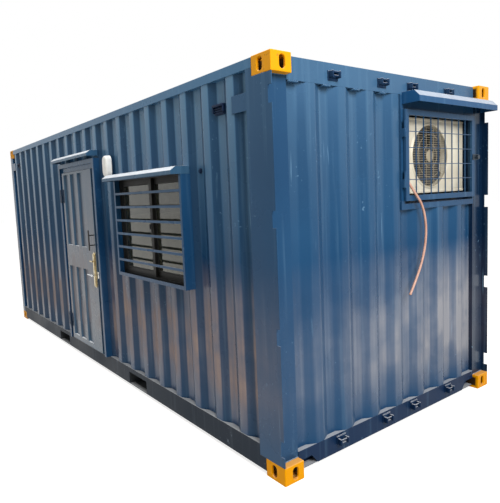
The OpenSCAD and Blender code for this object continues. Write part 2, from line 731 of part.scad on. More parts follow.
module ac_unit_case() {
    // sheet steel case open at the back, with a fan well and two bent feet
    color("#e4e0d4") {
        difference() {
            span([unit_x1 - unit_d, unit_y1 - unit_w, unit_z0], [unit_x1, unit_y1, unit_z0 + unit_h]);
            difference() {
                span([unit_x1 - unit_d - 1, unit_y1 - unit_w + sheet_t, unit_z0 + sheet_t], [unit_x1 - sheet_t, unit_y1 - sheet_t, unit_z0 + unit_h - sheet_t]);
                translate([unit_x1 - 62, fan_y, fan_z]) rotate([0, 90, 0]) cylinder(d = fan_d + 4, h = 62);
            }
            translate([unit_x1 - 60, fan_y, fan_z]) rotate([0, 90, 0]) cylinder(d = fan_d, h = 61);
        }
        for (y = [110, unit_w - 110]) difference() {
            span([unit_x1 - unit_d + 20, unit_y1 - unit_w + y - 30, ac_z0], [unit_x1 - 20, unit_y1 - unit_w + y + 30, unit_z0]);
            span([unit_x1 - unit_d + 19, unit_y1 - unit_w + y - 27, ac_z0 + 3], [unit_x1 - 19, unit_y1 - unit_w + y + 27, unit_z0 - 3]);
        }
    }
}

module ac_fan_guard() {
    // rings and spokes over the fan opening
    color("#8b8a84") translate([unit_x1, fan_y, fan_z]) rotate([0, 90, 0]) {
        for (r = [105, 150, 195, fan_d / 2 + 4]) difference() {
            cylinder(r = r, h = 6);
            translate([0, 0, -1]) cylinder(r = r - 7, h = 8);
        }
        for (a = [0 : 45 : 315]) rotate([0, 0, a]) translate([50, -3, 0]) cube([fan_d / 2 - 48, 6, 5]);
        cylinder(d = 124, h = 6);
    }
}

module gate_hinge_lugs() {
    color("#2c415c") for (z = gate_hinge_z) difference() {
        union() {
            translate([gate_axis_x, gate_axis_y, z - 62]) cylinder(d = 16, h = 61.6);
            span([face_x + 4, gate_axis_y - 8, z - 62], [gate_axis_x, gate_axis_y - 2, z - 0.4]);
        }
        translate([gate_axis_x, gate_axis_y, z - 31]) cylinder(d = pin_d + 2 * pin_gap, h = 60);
    }
}

module ac_guard_gate() {
    // square tube frame with round rods, hung on two drop-in pins
    color("#3d5a82") {
        difference() {
            span([gate_x0, gate_y0, gate_z0], [gate_x1, gate_y1, gate_z1]);
            span([gate_x0 - 1, gate_y0 + gate_p, gate_z0 + gate_p], [gate_x1 + 1, gate_y1 - gate_p, gate_z1 - gate_p]);
        }
        for (i = [1 : 8]) translate([gate_x0 + gate_t / 2, gate_y0 + gate_p + i * (gate_y1 - gate_y0 - 2 * gate_p) / 9, gate_z0 + gate_p - 2])
            cylinder(d = rod_d, h = gate_z1 - gate_z0 - 2 * gate_p + 4);
        for (i = [1 : 4]) translate([gate_x0 + gate_t / 2 + 5, gate_y0 + gate_p - 2, gate_z0 + gate_p + i * (gate_z1 - gate_z0 - 2 * gate_p) / 5])
            rotate([-90, 0, 0]) cylinder(d = 6, h = gate_y1 - gate_y0 - 2 * gate_p + 4);
        for (z = gate_hinge_z) {
            translate([gate_axis_x, gate_axis_y, z]) cylinder(d = 16, h = 60);
            translate([gate_axis_x, gate_axis_y, z - 30]) cylinder(d = pin_d, h = 34);
            span([gate_axis_x - 8, gate_axis_y, z], [gate_axis_x - 2, gate_y0 + 1, z + 60]);
        }
    }
}

module gate_lock() {
    // hasp plate on the gate with a round lock body reaching towards the post
    color("#9aa3ab") {
        lock_z = (gate_z0 + gate_z1) / 2 - 5;
        span([gate_x1, gate_y1 - 36, lock_z - 22], [gate_x1 + 5, gate_y1 + 52, lock_z + 22]);
        translate([gate_x1 + 5, gate_y1 + 30, lock_z]) rotate([0, 90, 0]) cylinder(d = 36, h = 16);
    }
}

// drain hose through the gate, hanging in a bow
hose_y = gate_y0 + gate_p + hose_d / 2;
hose_pts = [[gate_x0 - 64, hose_y - 14.6, gate_z0 + 259], [gate_x0 - 38, hose_y - 10.6, gate_z0 + 211], [gate_x0 - 12, hose_y - 3.6, gate_z0 + 163],
    [gate_x0 + 11, hose_y + 8.4, gate_z0 + 116], [hose_x - 1, hose_y + 31, gate_z0 + 69], [hose_x + 8, hose_y + 63, gate_z0 + 24],
    [hose_x + 11, hose_y + 103, gate_z0 - 25], [hose_x + 11, hose_y + 144, gate_z0 - 113], [hose_x + 11, hose_y + 161, gate_z0 - 227],
    [hose_x + 11, hose_y + 144, gate_z0 - 351], [hose_x + 11, hose_y + 98, gate_z0 - 471], [hose_x + 11, hose_y + 27, gate_z0 - 587],
    [hose_x + 11, hose_y - 49, gate_z0 - 691]];
function along(p, t) =
    let (n = len(p) - 1, i = min(floor(t * n), n - 1), u = t * n - i,
        a = p[max(i - 1, 0)], b = p[i], c = p[i + 1], d = p[min(i + 2, n)])
    0.5 * ((2 * b) + (c - a) * u + (2 * a - 5 * b + 4 * c - d) * u * u + (3 * b - a - 3 * c + d) * u * u * u);
function unit(v) = v / norm(v);

module drain_hose() {
    steps = 48;
    sides = 10;
    pts = [for (i = [0 : steps]) along(hose_pts, i / steps)];
    ring_pts = [for (i = [0 : steps])
        let (t = unit(pts[min(i + 1, steps)] - pts[max(i - 1, 0)]),
            a = unit(cross(t, [0.5, 0.866, 0])), b = cross(t, a))
        for (k = [0 : sides - 1]) pts[i] + hose_d / 2 * (a * cos(360 * k / sides) + b * sin(360 * k / sides))];
    color("#b98a73") polyhedron(points = ring_pts, faces = concat(
        [[for (k = [0 : sides - 1]) k]],
        [for (i = [0 : steps - 1], k = [0 : sides - 1])
            [i * sides + k, (i + 1) * sides + k, (i + 1) * sides + (k + 1) % sides, i * sides + (k + 1) % sides]],
        [[for (k = [sides - 1 : -1 : 0]) steps * sides + k]]));
}

bottom_corner_castings();
top_corner_castings();
blind_end_posts();
ac_end_post_left();
ac_end_post_right();
bottom_side_rail_front();
bottom_side_rail_back();
top_side_rails();
blind_end_header();
blind_end_sill();
ac_end_header();
ac_end_sill();
cam_keepers();
cross_members();
fork_pockets();
floor_boards();
roof_panel();
back_wall();
blind_end_wall();
front_wall_left();
front_wall_over_door();
front_wall_between();
front_wall_over_window();
front_wall_under_window();
front_wall_right();
ac_end_wall();
ac_end_wall_lower();
corner_gussets();
wall_vents();
bulkhead_light();
door_frame();
door_hinge_lugs();
door_leaf();
door_hinge_straps();
door_lock_plate();
door_pull_handle();
door_lever();
door_canopy();
window_surround();
window_bars();
window_sashes();
window_glass();
window_canopy();
ac_opening_frame();
ac_recess();
ac_unit_case();
ac_fan_guard();
ac_canopy();
gate_hinge_lugs();
ac_guard_gate();
gate_lock();
drain_hose();
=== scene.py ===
import math

import bmesh
import bpy
from mathutils import Matrix, Vector


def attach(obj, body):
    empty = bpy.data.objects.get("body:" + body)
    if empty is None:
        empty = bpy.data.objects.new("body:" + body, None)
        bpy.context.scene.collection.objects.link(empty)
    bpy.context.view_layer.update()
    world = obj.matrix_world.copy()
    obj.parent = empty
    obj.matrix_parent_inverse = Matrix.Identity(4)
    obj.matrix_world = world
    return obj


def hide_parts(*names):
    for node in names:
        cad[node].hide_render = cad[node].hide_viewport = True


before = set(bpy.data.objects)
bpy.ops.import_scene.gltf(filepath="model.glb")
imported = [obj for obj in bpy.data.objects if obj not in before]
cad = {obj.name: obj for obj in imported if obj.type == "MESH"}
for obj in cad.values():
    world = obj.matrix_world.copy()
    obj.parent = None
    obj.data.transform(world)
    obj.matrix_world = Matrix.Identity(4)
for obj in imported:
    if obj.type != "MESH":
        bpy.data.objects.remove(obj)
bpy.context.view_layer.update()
mm = 0.001
scene = bpy.context.scene
print("frame loaded:", len(cad), "nodes")


# camera at the photograph's viewpoint, for a picture of 500 x 503
viewpoint = {
    "place": (5.1931, -3.1420, 1.7916),
    "turn": (84.499, 2.571, 53.768),
    "lens": 35.8,
    "shift": (0.0441, -0.0184),
    "farClip": 200,
}
camera = bpy.data.objects.new("camera", bpy.data.cameras.new("camera"))
scene.collection.objects.link(camera)
camera.location = viewpoint["place"]
camera.rotation_euler = [math.radians(angle) for angle in viewpoint["turn"]]
camera.data.lens = viewpoint["lens"]
camera.data.shift_x, camera.data.shift_y = viewpoint["shift"]
camera.data.clip_end = viewpoint["farClip"]
scene.camera = camera
scene.view_settings.view_transform = "Standard"


def hexLinear(code):
    parts = [int(code[i:i + 2], 16) / 255 for i in (1, 3, 5)]
    return [c / 12.92 if c <= 0.04045 else ((c + 0.055) / 1.055) ** 2.4 for c in parts] + [1]


def setInputs(tree, node, inputs):
    for name, value in inputs.items():
        if isinstance(value, bpy.types.NodeSocket):
            tree.links.new(value, node.inputs[name])
        else:
            node.inputs[name].default_value = value


# adds a shader node with its settings, values and links, and gives the output asked for, or all
def addNode(tree, kind, inputs, output=0, **settings):
    node = tree.nodes.new("ShaderNode" + kind)
    for name, value in settings.items():
        setattr(node, name, value)
    setInputs(tree, node, inputs)
    return node.outputs if output is None else node.outputs[output]


# sockets of a colour mix: its share, the colour below, the colour above and the result
mixBy, mixLow, mixHigh, mixOut = 0, 6, 7, 2


def startMaterial(name):
    material = bpy.data.materials.new(name)
    material.use_nodes = True
    tree = material.node_tree
    coords = addNode(tree, "TexCoord", {}, None)
    return material, tree, tree.nodes["Principled BSDF"], coords


# how the paint's patterns lie on the part: sizes and heights in metres
paintSpec = {
    "flat": (0.9, 0.98), "longSide": (0.5, 0.95), "slopeShare": (0.55, 0.1),
    "patch": 0.7, "skyReflectionAndBleachLayer": (1.3, 2.5), "skyReflectionAndBleachShare": (0.4, 1),
    "streak": (0.04, 1.1), "rare": 0.5, "scuff": 0.025, "scratch": (0.03, 0.6),
    "filmFoot": (0.15, 0.5), "filmFull": 0.75, "cloud": 0.3, "thin": 0.45, "runs": (0.7, 1.15),
    "corner": (-0.7, 1), "cornerShare": (0.5, 2.6), "longShare": 1.4,
    "speck": 0.09, "waver": 0.35, "skin": 0.006, "skinMm": 0.05,
    # colours of the layers: painted shade in the slopes, film tones that are dust and a painted
    # reflection of the ground, and pale resting dust that is also a painted highlight
    "paintedSlopeShade": "#0c1726", "endReflectionAndDust": "#94959c", "longReflectionAndDust": "#a59188", "restingDustAndHighlight": "#f4f6f7",
}


# alkyd gloss brushed and sprayed over sheet steel: a gloss tinted as a painted bluish sky
# reflection that wavers with the sheet, faded patches, painted shade in the slopes, bleaching with
# a painted sky reflection towards the roof, rain streaks, scuffs and scratches, a film of dust low
# down that is also a painted reflection of the ground, and pale dust with painted highlights on
# what faces up
def glossPaint(name, look):
    material, tree, shader, coords = startMaterial(name)
    place = coords["Object"]
    spot = addNode(tree, "SeparateXYZ", {"Vector": place}, None)
    side = addNode(tree, "SeparateXYZ", {"Vector": coords["Normal"]}, None)
    acrossX = addNode(tree, "Math", {0: side["X"]}, operation="ABSOLUTE")
    acrossY = addNode(tree, "Math", {0: side["Y"]}, operation="ABSOLUTE")
    square = addNode(tree, "Math", {0: acrossX, 1: acrossY}, operation="MAXIMUM")
    longSide = addNode(tree, "MapRange", {
        "Value": acrossY,
        "From Min": paintSpec["longSide"][0], "From Max": paintSpec["longSide"][1]})
    onSlope = addNode(tree, "MapRange", {
        "Value": longSide,
        "To Min": paintSpec["slopeShare"][0], "To Max": paintSpec["slopeShare"][1]})
    flatPart = addNode(tree, "MapRange", {
        "Value": square, "From Min": paintSpec["flat"][0], "From Max": paintSpec["flat"][1],
        "To Min": onSlope})
    patch = addNode(tree, "TexNoise", {
        "Vector": place, "Scale": 1 / paintSpec["patch"], "Detail": 5})
    fading = addNode(tree, "MapRange", {"Value": patch, "From Min": 0.35, "From Max": 0.65})

    # painted shade: the slopes of the long sides darkened towards near-black navy
    slope = addNode(tree, "MapRange", {
        "Value": square, "From Min": paintSpec["flat"][0], "From Max": paintSpec["flat"][1],
        "To Min": look["paintedSlopeShade"], "To Max": 0})
    slopeShadeShare = addNode(tree, "Math", {0: slope, 1: longSide}, operation="MULTIPLY")

    # bleaching and a painted sky reflection, lighter towards the roof, most on the flats of the
    # long sides
    skyReflectionAndBleachLayer = addNode(tree, "MapRange", {
        "Value": spot["Z"], "From Min": paintSpec["skyReflectionAndBleachLayer"][0], "From Max": paintSpec["skyReflectionAndBleachLayer"][1],
        "To Max": look["skyReflectionAndBleach"]})
    skyReflectionAndBleachBySide = addNode(tree, "MapRange", {
        "Value": longSide,
        "To Min": paintSpec["skyReflectionAndBleachShare"][0], "To Max": paintSpec["skyReflectionAndBleachShare"][1]})
    skyReflectionAndBleachLayer = addNode(tree, "Math", {0: skyReflectionAndBleachLayer, 1: skyReflectionAndBleachBySide}, operation="MULTIPLY")
    skyReflectionAndBleachLayer = addNode(tree, "Math", {0: skyReflectionAndBleachLayer, 1: flatPart}, operation="MULTIPLY")

    # rain streaks 40 mm apart and about a metre long
    gap, length = paintSpec["streak"]
    tall = addNode(tree, "Mapping", {"Vector": place, "Scale": (1 / gap, 1 / gap, 1 / length)})
    streak = addNode(tree, "TexNoise", {"Vector": tall, "Scale": 1, "Detail": 3})
    streaky = addNode(tree, "MapRange", {
        "Value": streak, "From Min": 0.55, "From Max": 0.8, "To Max": look["streaks"]})

    # scuffs of 25 mm and long scratches drawn 9 mm wide to show, both kept to a few places
    rare = addNode(tree, "TexNoise", {
        "Vector": place, "Scale": 1 / paintSpec["rare"], "Detail": 2})
    seldom = addNode(tree, "MapRange", {
        "Value": rare, "From Min": 0.5, "From Max": 0.62, "To Max": look["scuffs"]})
    scuff = addNode(tree, "TexNoise", {
        "Vector": place, "Scale": 1 / paintSpec["scuff"], "Detail": 6, "Distortion": 0.6})
    gap, length = paintSpec["scratch"]
    drag = addNode(tree, "Mapping", {"Vector": place, "Scale": (1 / gap, 1 / gap, 1 / length)})
    scratch = addNode(tree, "TexNoise", {
        "Vector": drag, "Scale": 1, "Detail": 1, "Distortion": 0.4})
    marks = addNode(tree, "Math", {
        0: addNode(tree, "MapRange", {"Value": scuff, "From Min": 0.66, "From Max": 0.72}),
        1: addNode(tree, "MapRange", {"Value": scratch, "From Min": 0.72, "From Max": 0.76}),
    }, operation="MAXIMUM")
    marked = addNode(tree, "Math", {0: marks, 1: seldom}, operation="MULTIPLY")

    # film of road dust on the flats, from knee to chest, washed off the slopes and the foot; it
    # also paints the reflection of the sunlit ground
    rise = addNode(tree, "MapRange", {
        "Value": spot["Z"],
        "From Min": paintSpec["filmFoot"][0], "From Max": paintSpec["filmFoot"][1]})
    fall = addNode(tree, "MapRange", {
        "Value": spot["Z"], "From Min": paintSpec["filmFull"], "From Max": look["reflectionAndDustTop"],
        "To Min": 1, "To Max": 0})
    cloud = addNode(tree, "TexNoise", {
        "Vector": place, "Scale": 1 / paintSpec["cloud"], "Detail": 4})
    thick = addNode(tree, "MapRange", {
        "Value": cloud, "From Min": 0.35, "From Max": 0.62,
        "To Min": look["reflectionAndDust"] * paintSpec["thin"], "To Max": look["reflectionAndDust"]})
    runs = addNode(tree, "MapRange", {
        "Value": streak, "From Min": 0.35, "From Max": 0.65,
        "To Min": paintSpec["runs"][0], "To Max": paintSpec["runs"][1]})
    film = addNode(tree, "Math", {0: rise, 1: fall}, operation="MULTIPLY")
    film = addNode(tree, "Math", {0: film, 1: flatPart}, operation="MULTIPLY")
    thick = addNode(tree, "Math", {0: thick, 1: runs}, operation="MULTIPLY")
    film = addNode(tree, "Math", {0: film, 1: thick}, operation="MULTIPLY")
    # thicker and warmer along the long sides, where the warm tone is also a painted reflection of
    # the ground, and thicker towards the back corner of the ends
    corner = addNode(tree, "MapRange", {
        "Value": spot["Y"],
        "From Min": paintSpec["corner"][0], "From Max": paintSpec["corner"][1],
        "To Min": paintSpec["cornerShare"][0], "To Max": paintSpec["cornerShare"][1]})
    share = addNode(tree, "Mix", {0: longSide, 2: corner, 3: paintSpec["longShare"]})
    film = addNode(tree, "Math", {0: film, 1: share}, operation="MULTIPLY", use_clamp=True)
    reflectionAndDustTone = addNode(tree, "Mix", {
        mixBy: longSide, mixLow: hexLinear(paintSpec["endReflectionAndDust"]),
        mixHigh: hexLinear(paintSpec["longReflectionAndDust"])}, mixOut, data_type="RGBA")

    # pale settled dust and a painted highlight on faces that look up, broken every 90 mm
    speck = addNode(tree, "TexNoise", {
        "Vector": place, "Scale": 1 / paintSpec["speck"], "Detail": 5})
    upFacingDustAndHighlight = addNode(tree, "Math", {
        0: addNode(tree, "MapRange", {"Value": side["Z"], "From Min": 0.35, "From Max": 0.75}),
        1: addNode(tree, "MapRange", {
            "Value": speck, "From Min": 0.25, "From Max": 0.6,
            "To Min": look["restingDustAndHighlight"] * 0.8, "To Max": look["restingDustAndHighlight"]}),
    }, operation="MULTIPLY")

    # the layers in the order they came
    # the pale tone serves the painted sky reflection as well as the streaks, scuffs and scratches
    skyToneAndChalk = hexLinear(look["skyToneAndChalk"])
    colour = hexLinear(look["base"])
    for layer, tone in (
            (fading, hexLinear(look["faded"])), (slopeShadeShare, hexLinear(paintSpec["paintedSlopeShade"])),
            (skyReflectionAndBleachLayer, skyToneAndChalk), (streaky, skyToneAndChalk), (marked, skyToneAndChalk), (film, reflectionAndDustTone),
            (upFacingDustAndHighlight, hexLinear(paintSpec["restingDustAndHighlight"]))):
        colour = addNode(
            tree, "Mix", {mixBy: layer, mixLow: colour, mixHigh: tone}, mixOut, data_type="RGBA")
    sheen = addNode(tree, "MapRange", {
        "Value": patch, "From Min": 0.3, "From Max": 0.7,
        "To Min": look["rough"][0], "To Max": look["rough"][1]})
    dull = addNode(tree, "Math", {0: film, 1: upFacingDustAndHighlight}, operation="MAXIMUM")
    sheen = addNode(tree, "Math", {0: sheen, 1: dull}, operation="MAXIMUM")

    # the sheet wavers by a millimetre or two over 350 mm; the paint's skin is drawn at 6 mm to show
    waver = addNode(tree, "TexNoise", {
        "Vector": place, "Scale": 1 / paintSpec["waver"], "Detail": 2})
    skin = addNode(tree, "TexNoise", {
        "Vector": place, "Scale": 1 / paintSpec["skin"], "Detail": 2})
    bent = addNode(tree, "Bump", {
        "Height": waver, "Distance": look["waver"] * mm, "Strength": 1})
    normal = addNode(tree, "Bump", {
        "Height": skin, "Distance": paintSpec["skinMm"] * mm, "Strength": 0.5, "Normal": bent})
    # the tint colours the gloss of the white surroundings: a painted bluish sky reflection
    setInputs(tree, shader, {
        "Base Color": colour, "Roughness": sheen, "Normal": normal, "IOR": look["ior"],
        "Specular Tint": hexLinear(look["paintedReflectionTint"])})
    return material


# the tint of each look's gloss is a painted reflection colour, bluish sky on the navy
navyLook = {
    "base": "#133a5e", "faded": "#194368", "skyToneAndChalk": "#7da6c4", "streaks": 0.14, "scuffs": 0.4,
    "skyReflectionAndBleach": 0.5, "paintedSlopeShade": 0.45, "reflectionAndDustTop": 1.35, "reflectionAndDust": 0.62, "restingDustAndHighlight": 0.5,
    "rough": (0.22, 0.34), "waver": 2.5, "ior": 1.35, "paintedReflectionTint": "#a9d0f0"}
frameLook = navyLook | {"skyReflectionAndBleach": 0.12, "reflectionAndDust": 0.14, "restingDustAndHighlight": 0.12}
# painted shade: a darker copy of the frame paint for the post beside the gate, under the hood
paintedShadeLook = frameLook | {"base": "#0a2039", "faded": "#0f2743", "skyReflectionAndBleach": 0, "reflectionAndDust": 0.08}
roofLook = navyLook | {"skyReflectionAndBleach": 0, "restingDustAndHighlight": 0.2}
# painted highlight: a lighter copy of the navy for the top rails and the weld beads, standing in
# for the sky's reflection
paintedHighlightLook = navyLook | {"base": "#2b5a81", "faded": "#346289", "skyReflectionAndBleach": 0.2, "waver": 2}
hoodLook = navyLook | {"base": "#1a466f", "faded": "#204d76", "skyReflectionAndBleach": 0, "restingDustAndHighlight": 0.38}
# the canopies' tops near white: resting dust and a painted highlight
canopyLook = navyLook | {
    "base": "#2c4f6e", "faded": "#365872", "skyReflectionAndBleach": 0.1, "restingDustAndHighlight": 0.72, "waver": 1}
# its resting dust paints pale highlights on the sill's ledges and the keepers
sillLook = navyLook | {
    "base": "#081e3c", "faded": "#0d2645", "scuffs": 0.5, "skyReflectionAndBleach": 0.05, "reflectionAndDust": 0.08,
    "restingDustAndHighlight": 0.4, "rough": (0.45, 0.6), "waver": 1.5, "ior": 1.28}
# painted shade: the dark sill paint, nearly without pale dust, for the recess behind the unit
paintedShadeRecessLook = sillLook | {"restingDustAndHighlight": 0.05}
# painted shade: a near-black copy of the sill paint for the bottom rails, for the ground's shadow
# reflected in them
paintedShadeRailLook = sillLook | {
    "base": "#0a121e", "faded": "#101824", "skyToneAndChalk": "#7d8a98", "restingDustAndHighlight": 0.35}
# a high share of resting dust paints white highlights on the ledges of the pressed panels
doorLook = navyLook | {
    "base": "#274a66", "faded": "#31526b", "skyToneAndChalk": "#8b97a4", "scuffs": 0.3, "skyReflectionAndBleach": 0.1,
    "reflectionAndDustTop": 2.4, "reflectionAndDust": 0.38, "restingDustAndHighlight": 0.95, "rough": (0.2, 0.3), "waver": 1.5,
    "ior": 1.45, "paintedReflectionTint": "#c9d8e0"}
yellowLook = {
    "base": "#eca000", "faded": "#e29600", "skyToneAndChalk": "#7a6030", "streaks": 0.08, "scuffs": 0.6,
    "skyReflectionAndBleach": 0, "paintedSlopeShade": 0, "reflectionAndDustTop": 0.6, "reflectionAndDust": 0.06, "restingDustAndHighlight": 0.1,
    "rough": (0.4, 0.55), "waver": 1, "ior": 1.25, "paintedReflectionTint": "#ffd060"}
navyPaint = glossPaint("navyAlkydGloss", navyLook)
framePaint = glossPaint("frameAlkydGloss", frameLook)
paintedShadePaint = glossPaint("paintedShadePostAlkydGloss", paintedShadeLook)
roofPaint = glossPaint("roofAlkydGloss", roofLook)
paintedHighlightPaint = glossPaint("paintedHighlightAlkydGloss", paintedHighlightLook)
hoodPaint = glossPaint("hoodAlkydGloss", hoodLook)
canopyPaint = glossPaint("canopyAlkydGloss", canopyLook)
sillPaint = glossPaint("sillAlkydGloss", sillLook)
paintedShadeRecessPaint = glossPaint("paintedShadeRecessAlkydGloss", paintedShadeRecessLook)
paintedShadeRailPaint = glossPaint("paintedShadeRailAlkydGloss", paintedShadeRailLook)
doorPaint = glossPaint("doorAlkydGloss", doorLook)
yellowPaint = glossPaint("yellowCastingGloss", yellowLook)


# painted shade inside the castings: from 14 mm behind the outer faces the colour turns a near-black
# brown
castingSpec = {
    "half": {"X": 3.029, "Y": 1.219}, "levels": (0, 0.118, 2.473, 2.591), "skin": 0.014,
    "pocketShade": "#2a1d12"}
tree = yellowPaint.node_tree
shader = tree.nodes["Principled BSDF"]
place = addNode(tree, "TexCoord", {}, "Object")
spot = addNode(tree, "SeparateXYZ", {"Vector": place}, None)
depths = []
for axis, half in castingSpec["half"].items():
    out = addNode(tree, "Math", {0: spot[axis]}, operation="ABSOLUTE")
    depths.append(addNode(tree, "Math", {0: half, 1: out}, operation="SUBTRACT"))
for level in castingSpec["levels"]:
    away = addNode(tree, "Math", {0: spot["Z"], 1: level}, operation="SUBTRACT")
    depths.append(addNode(tree, "Math", {0: away}, operation="ABSOLUTE"))
nearest = depths[0]
for depth in depths[1:]:
    nearest = addNode(tree, "Math", {0: nearest, 1: depth}, operation="MINIMUM")
pocketShade = addNode(tree, "MapRange", {
    "Value": nearest, "From Min": castingSpec["skin"], "From Max": castingSpec["skin"] * 2})
painted = shader.inputs["Base Color"].links[0].from_socket
setInputs(tree, shader, {"Base Color": addNode(tree, "Mix", {
    mixBy: pocketShade, mixLow: painted, mixHigh: hexLinear(castingSpec["pocketShade"])},
    mixOut, data_type="RGBA")})


# small parts: one colour broken up by a fine and a broad noise, with a little surface grain
def plainFinish(name, look):
    material, tree, shader, coords = startMaterial(name)
    grain = addNode(tree, "TexNoise", {
        "Vector": coords["Object"], "Scale": 1000 / look["grainMm"], "Detail": 4})
    cloud = addNode(tree, "TexNoise", {
        "Vector": coords["Object"], "Scale": 1000 / look["cloudMm"], "Detail": 4})
    wear = addNode(tree, "MapRange", {"Value": cloud, "From Min": 0.35, "From Max": 0.65})
    colour = addNode(tree, "Mix", {
        mixBy: wear, mixLow: hexLinear(look["base"]), mixHigh: hexLinear(look["worn"])},
        mixOut, data_type="RGBA")
    sheen = addNode(tree, "MapRange", {
        "Value": cloud, "From Min": 0.3, "From Max": 0.7,
        "To Min": look["rough"][0], "To Max": look["rough"][1]})
    normal = addNode(tree, "Bump", {
        "Height": grain, "Distance": look["bumpMm"] * mm, "Strength": 0.5})
    setInputs(tree, shader, {
        "Base Color": colour, "Roughness": sheen, "Normal": normal,
        "Metallic": look.get("metal", 0), "IOR": look.get("ior", 1.5)})
    return material


# bitumen underseal: matt, lumpy, near black
underseal = plainFinish("bitumenUnderseal", {
    "base": "#1d2126", "worn": "#2d3033", "grainMm": 6, "cloudMm": 120,
    "rough": (0.6, 0.8), "bumpMm": 0.6})
# opal polycarbonate: smooth moulded white
opal = plainFinish("opalPolycarbonate", {
    "base": "#f1f1ee", "worn": "#e6e5df", "grainMm": 8, "cloudMm": 90,
    "rough": (0.2, 0.3), "bumpMm": 0.05})
# baked off-white enamel on folded sheet: an even satin
enamel = plainFinish("creamEnamel", {
    "base": "#e0dac8", "worn": "#d4ccb8", "grainMm": 5, "cloudMm": 160,
    "rough": (0.3, 0.42), "bumpMm": 0.05})
# plated wire gone dull and tan with dust
guardWire = plainFinish("dustyPlatedWire", {
    "base": "#a79d88", "worn": "#b5aa92", "grainMm": 3, "cloudMm": 40,
    "rough": (0.35, 0.5), "bumpMm": 0.05, "metal": 0.5})
# satin lacquered brass: a soft warm gleam
brass = plainFinish("satinBrass", {
    "base": "#d6c8a6", "worn": "#bdac86", "grainMm": 2, "cloudMm": 40,
    "rough": (0.24, 0.36), "bumpMm": 0.03, "metal": 1})
# polished chrome plate: near mirror
chrome = plainFinish("chromePlate", {
    "base": "#d6d8da", "worn": "#c4c6c8", "grainMm": 2, "cloudMm": 30,
    "rough": (0.08, 0.16), "bumpMm": 0.02, "metal": 1})
# stove enamelled black steel: dark satin
blackSteel = plainFinish("blackStoveEnamel", {
    "base": "#141416", "worn": "#1f1f21", "grainMm": 3, "cloudMm": 40,
    "rough": (0.3, 0.42), "bumpMm": 0.05})
# dark bronze powder coat on aluminium extrusion: fine matt grain
darkAlloy = plainFinish("darkPowderCoatAluminium", {
    "base": "#131312", "worn": "#1c1b19", "grainMm": 1.5, "cloudMm": 200,
    "rough": (0.4, 0.5), "bumpMm": 0.03, "ior": 1.28})
# zinc plated lock steel, darkened as painted shade under the hood
paintedShadeZinc = plainFinish("paintedShadeZincPlatedSteel", {
    "base": "#4b555e", "worn": "#38424b", "grainMm": 2, "cloudMm": 25,
    "rough": (0.28, 0.42), "bumpMm": 0.03, "metal": 1})
# hinge steel with worn dark paint: matt
hingeSteel = plainFinish("wornHingePaint", {
    "base": "#14263a", "worn": "#1d3046", "grainMm": 3, "cloudMm": 30,
    "rough": (0.45, 0.6), "bumpMm": 0.1, "ior": 1.25})
# moulded grey polypropylene fan: dark, waxy
fanPlastic = plainFinish("greyPolypropylene", {
    "base": "#2f2e2c", "worn": "#3a3836", "grainMm": 4, "cloudMm": 80,
    "rough": (0.4, 0.55), "bumpMm": 0.05})
# moulded dark blue ventilator plastic: matt
ventPlastic = plainFinish("navyMouldedPlastic", {
    "base": "#0d1f3a", "worn": "#132743", "grainMm": 2, "cloudMm": 50,
    "rough": (0.45, 0.6), "bumpMm": 0.1, "ior": 1.25})
# black rubber of gaskets and feet: no gleam
gasketRubber = plainFinish("blackRubber", {
    "base": "#101112", "worn": "#191a1b", "grainMm": 2, "cloudMm": 60,
    "rough": (0.6, 0.75), "bumpMm": 0.1})
# pale flesh-coloured PVC tube: a soft gleam along its length
hosePvc = plainFinish("fleshPvcTube", {
    "base": "#cb9f8b", "worn": "#bb8b77", "grainMm": 4, "cloudMm": 60,
    "rough": (0.35, 0.48), "bumpMm": 0.1})
print("paints and plain finishes made")


# oiled marine plywood: long grain along the board and a seam every 1160 mm
plySpec = {"grain": (0.5, 0.014), "dark": "#6b4c31", "pale": "#8a6643", "board": (2.4, 1.16),
           "seam": 0.002, "grainMm": 0.3}


def plywood(name):
    material, tree, shader, coords = startMaterial(name)
    length, gap = plySpec["grain"]
    along = addNode(tree, "Mapping", {
        "Vector": coords["Object"], "Scale": (1 / length, 1 / gap, 1 / gap)})
    grain = addNode(tree, "TexNoise", {"Vector": along, "Scale": 1, "Detail": 6})
    band = addNode(tree, "MapRange", {"Value": grain, "From Min": 0.3, "From Max": 0.7})
    colour = addNode(tree, "Mix", {
        mixBy: band, mixLow: hexLinear(plySpec["dark"]), mixHigh: hexLinear(plySpec["pale"])},
        mixOut, data_type="RGBA")
    seams = addNode(tree, "TexBrick", {
        "Vector": coords["Object"], "Scale": 1, "Mortar Size": plySpec["seam"],
        "Brick Width": plySpec["board"][0], "Row Height": plySpec["board"][1],
        "Color1": (1, 1, 1, 1), "Color2": (0.8, 0.8, 0.8, 1), "Mortar": (0.1, 0.1, 0.1, 1)})
    colour = addNode(tree, "Mix", {mixBy: 1.0, mixLow: colour, mixHigh: seams}, mixOut,
                     data_type="RGBA", blend_type="MULTIPLY")
    normal = addNode(tree, "Bump", {
        "Height": grain, "Distance": plySpec["grainMm"] * mm, "Strength": 0.6})
    setInputs(tree, shader, {"Base Color": colour, "Roughness": 0.6, "Normal": normal})
    return material


# float glass with a faint bronze tint: sharp reflections, slight ripple
glassSpec = {"tint": "#8d9080", "ripple": 0.25, "rippleMm": 0.6, "film": 0.05,
             "rough": (0.01, 0.05)}


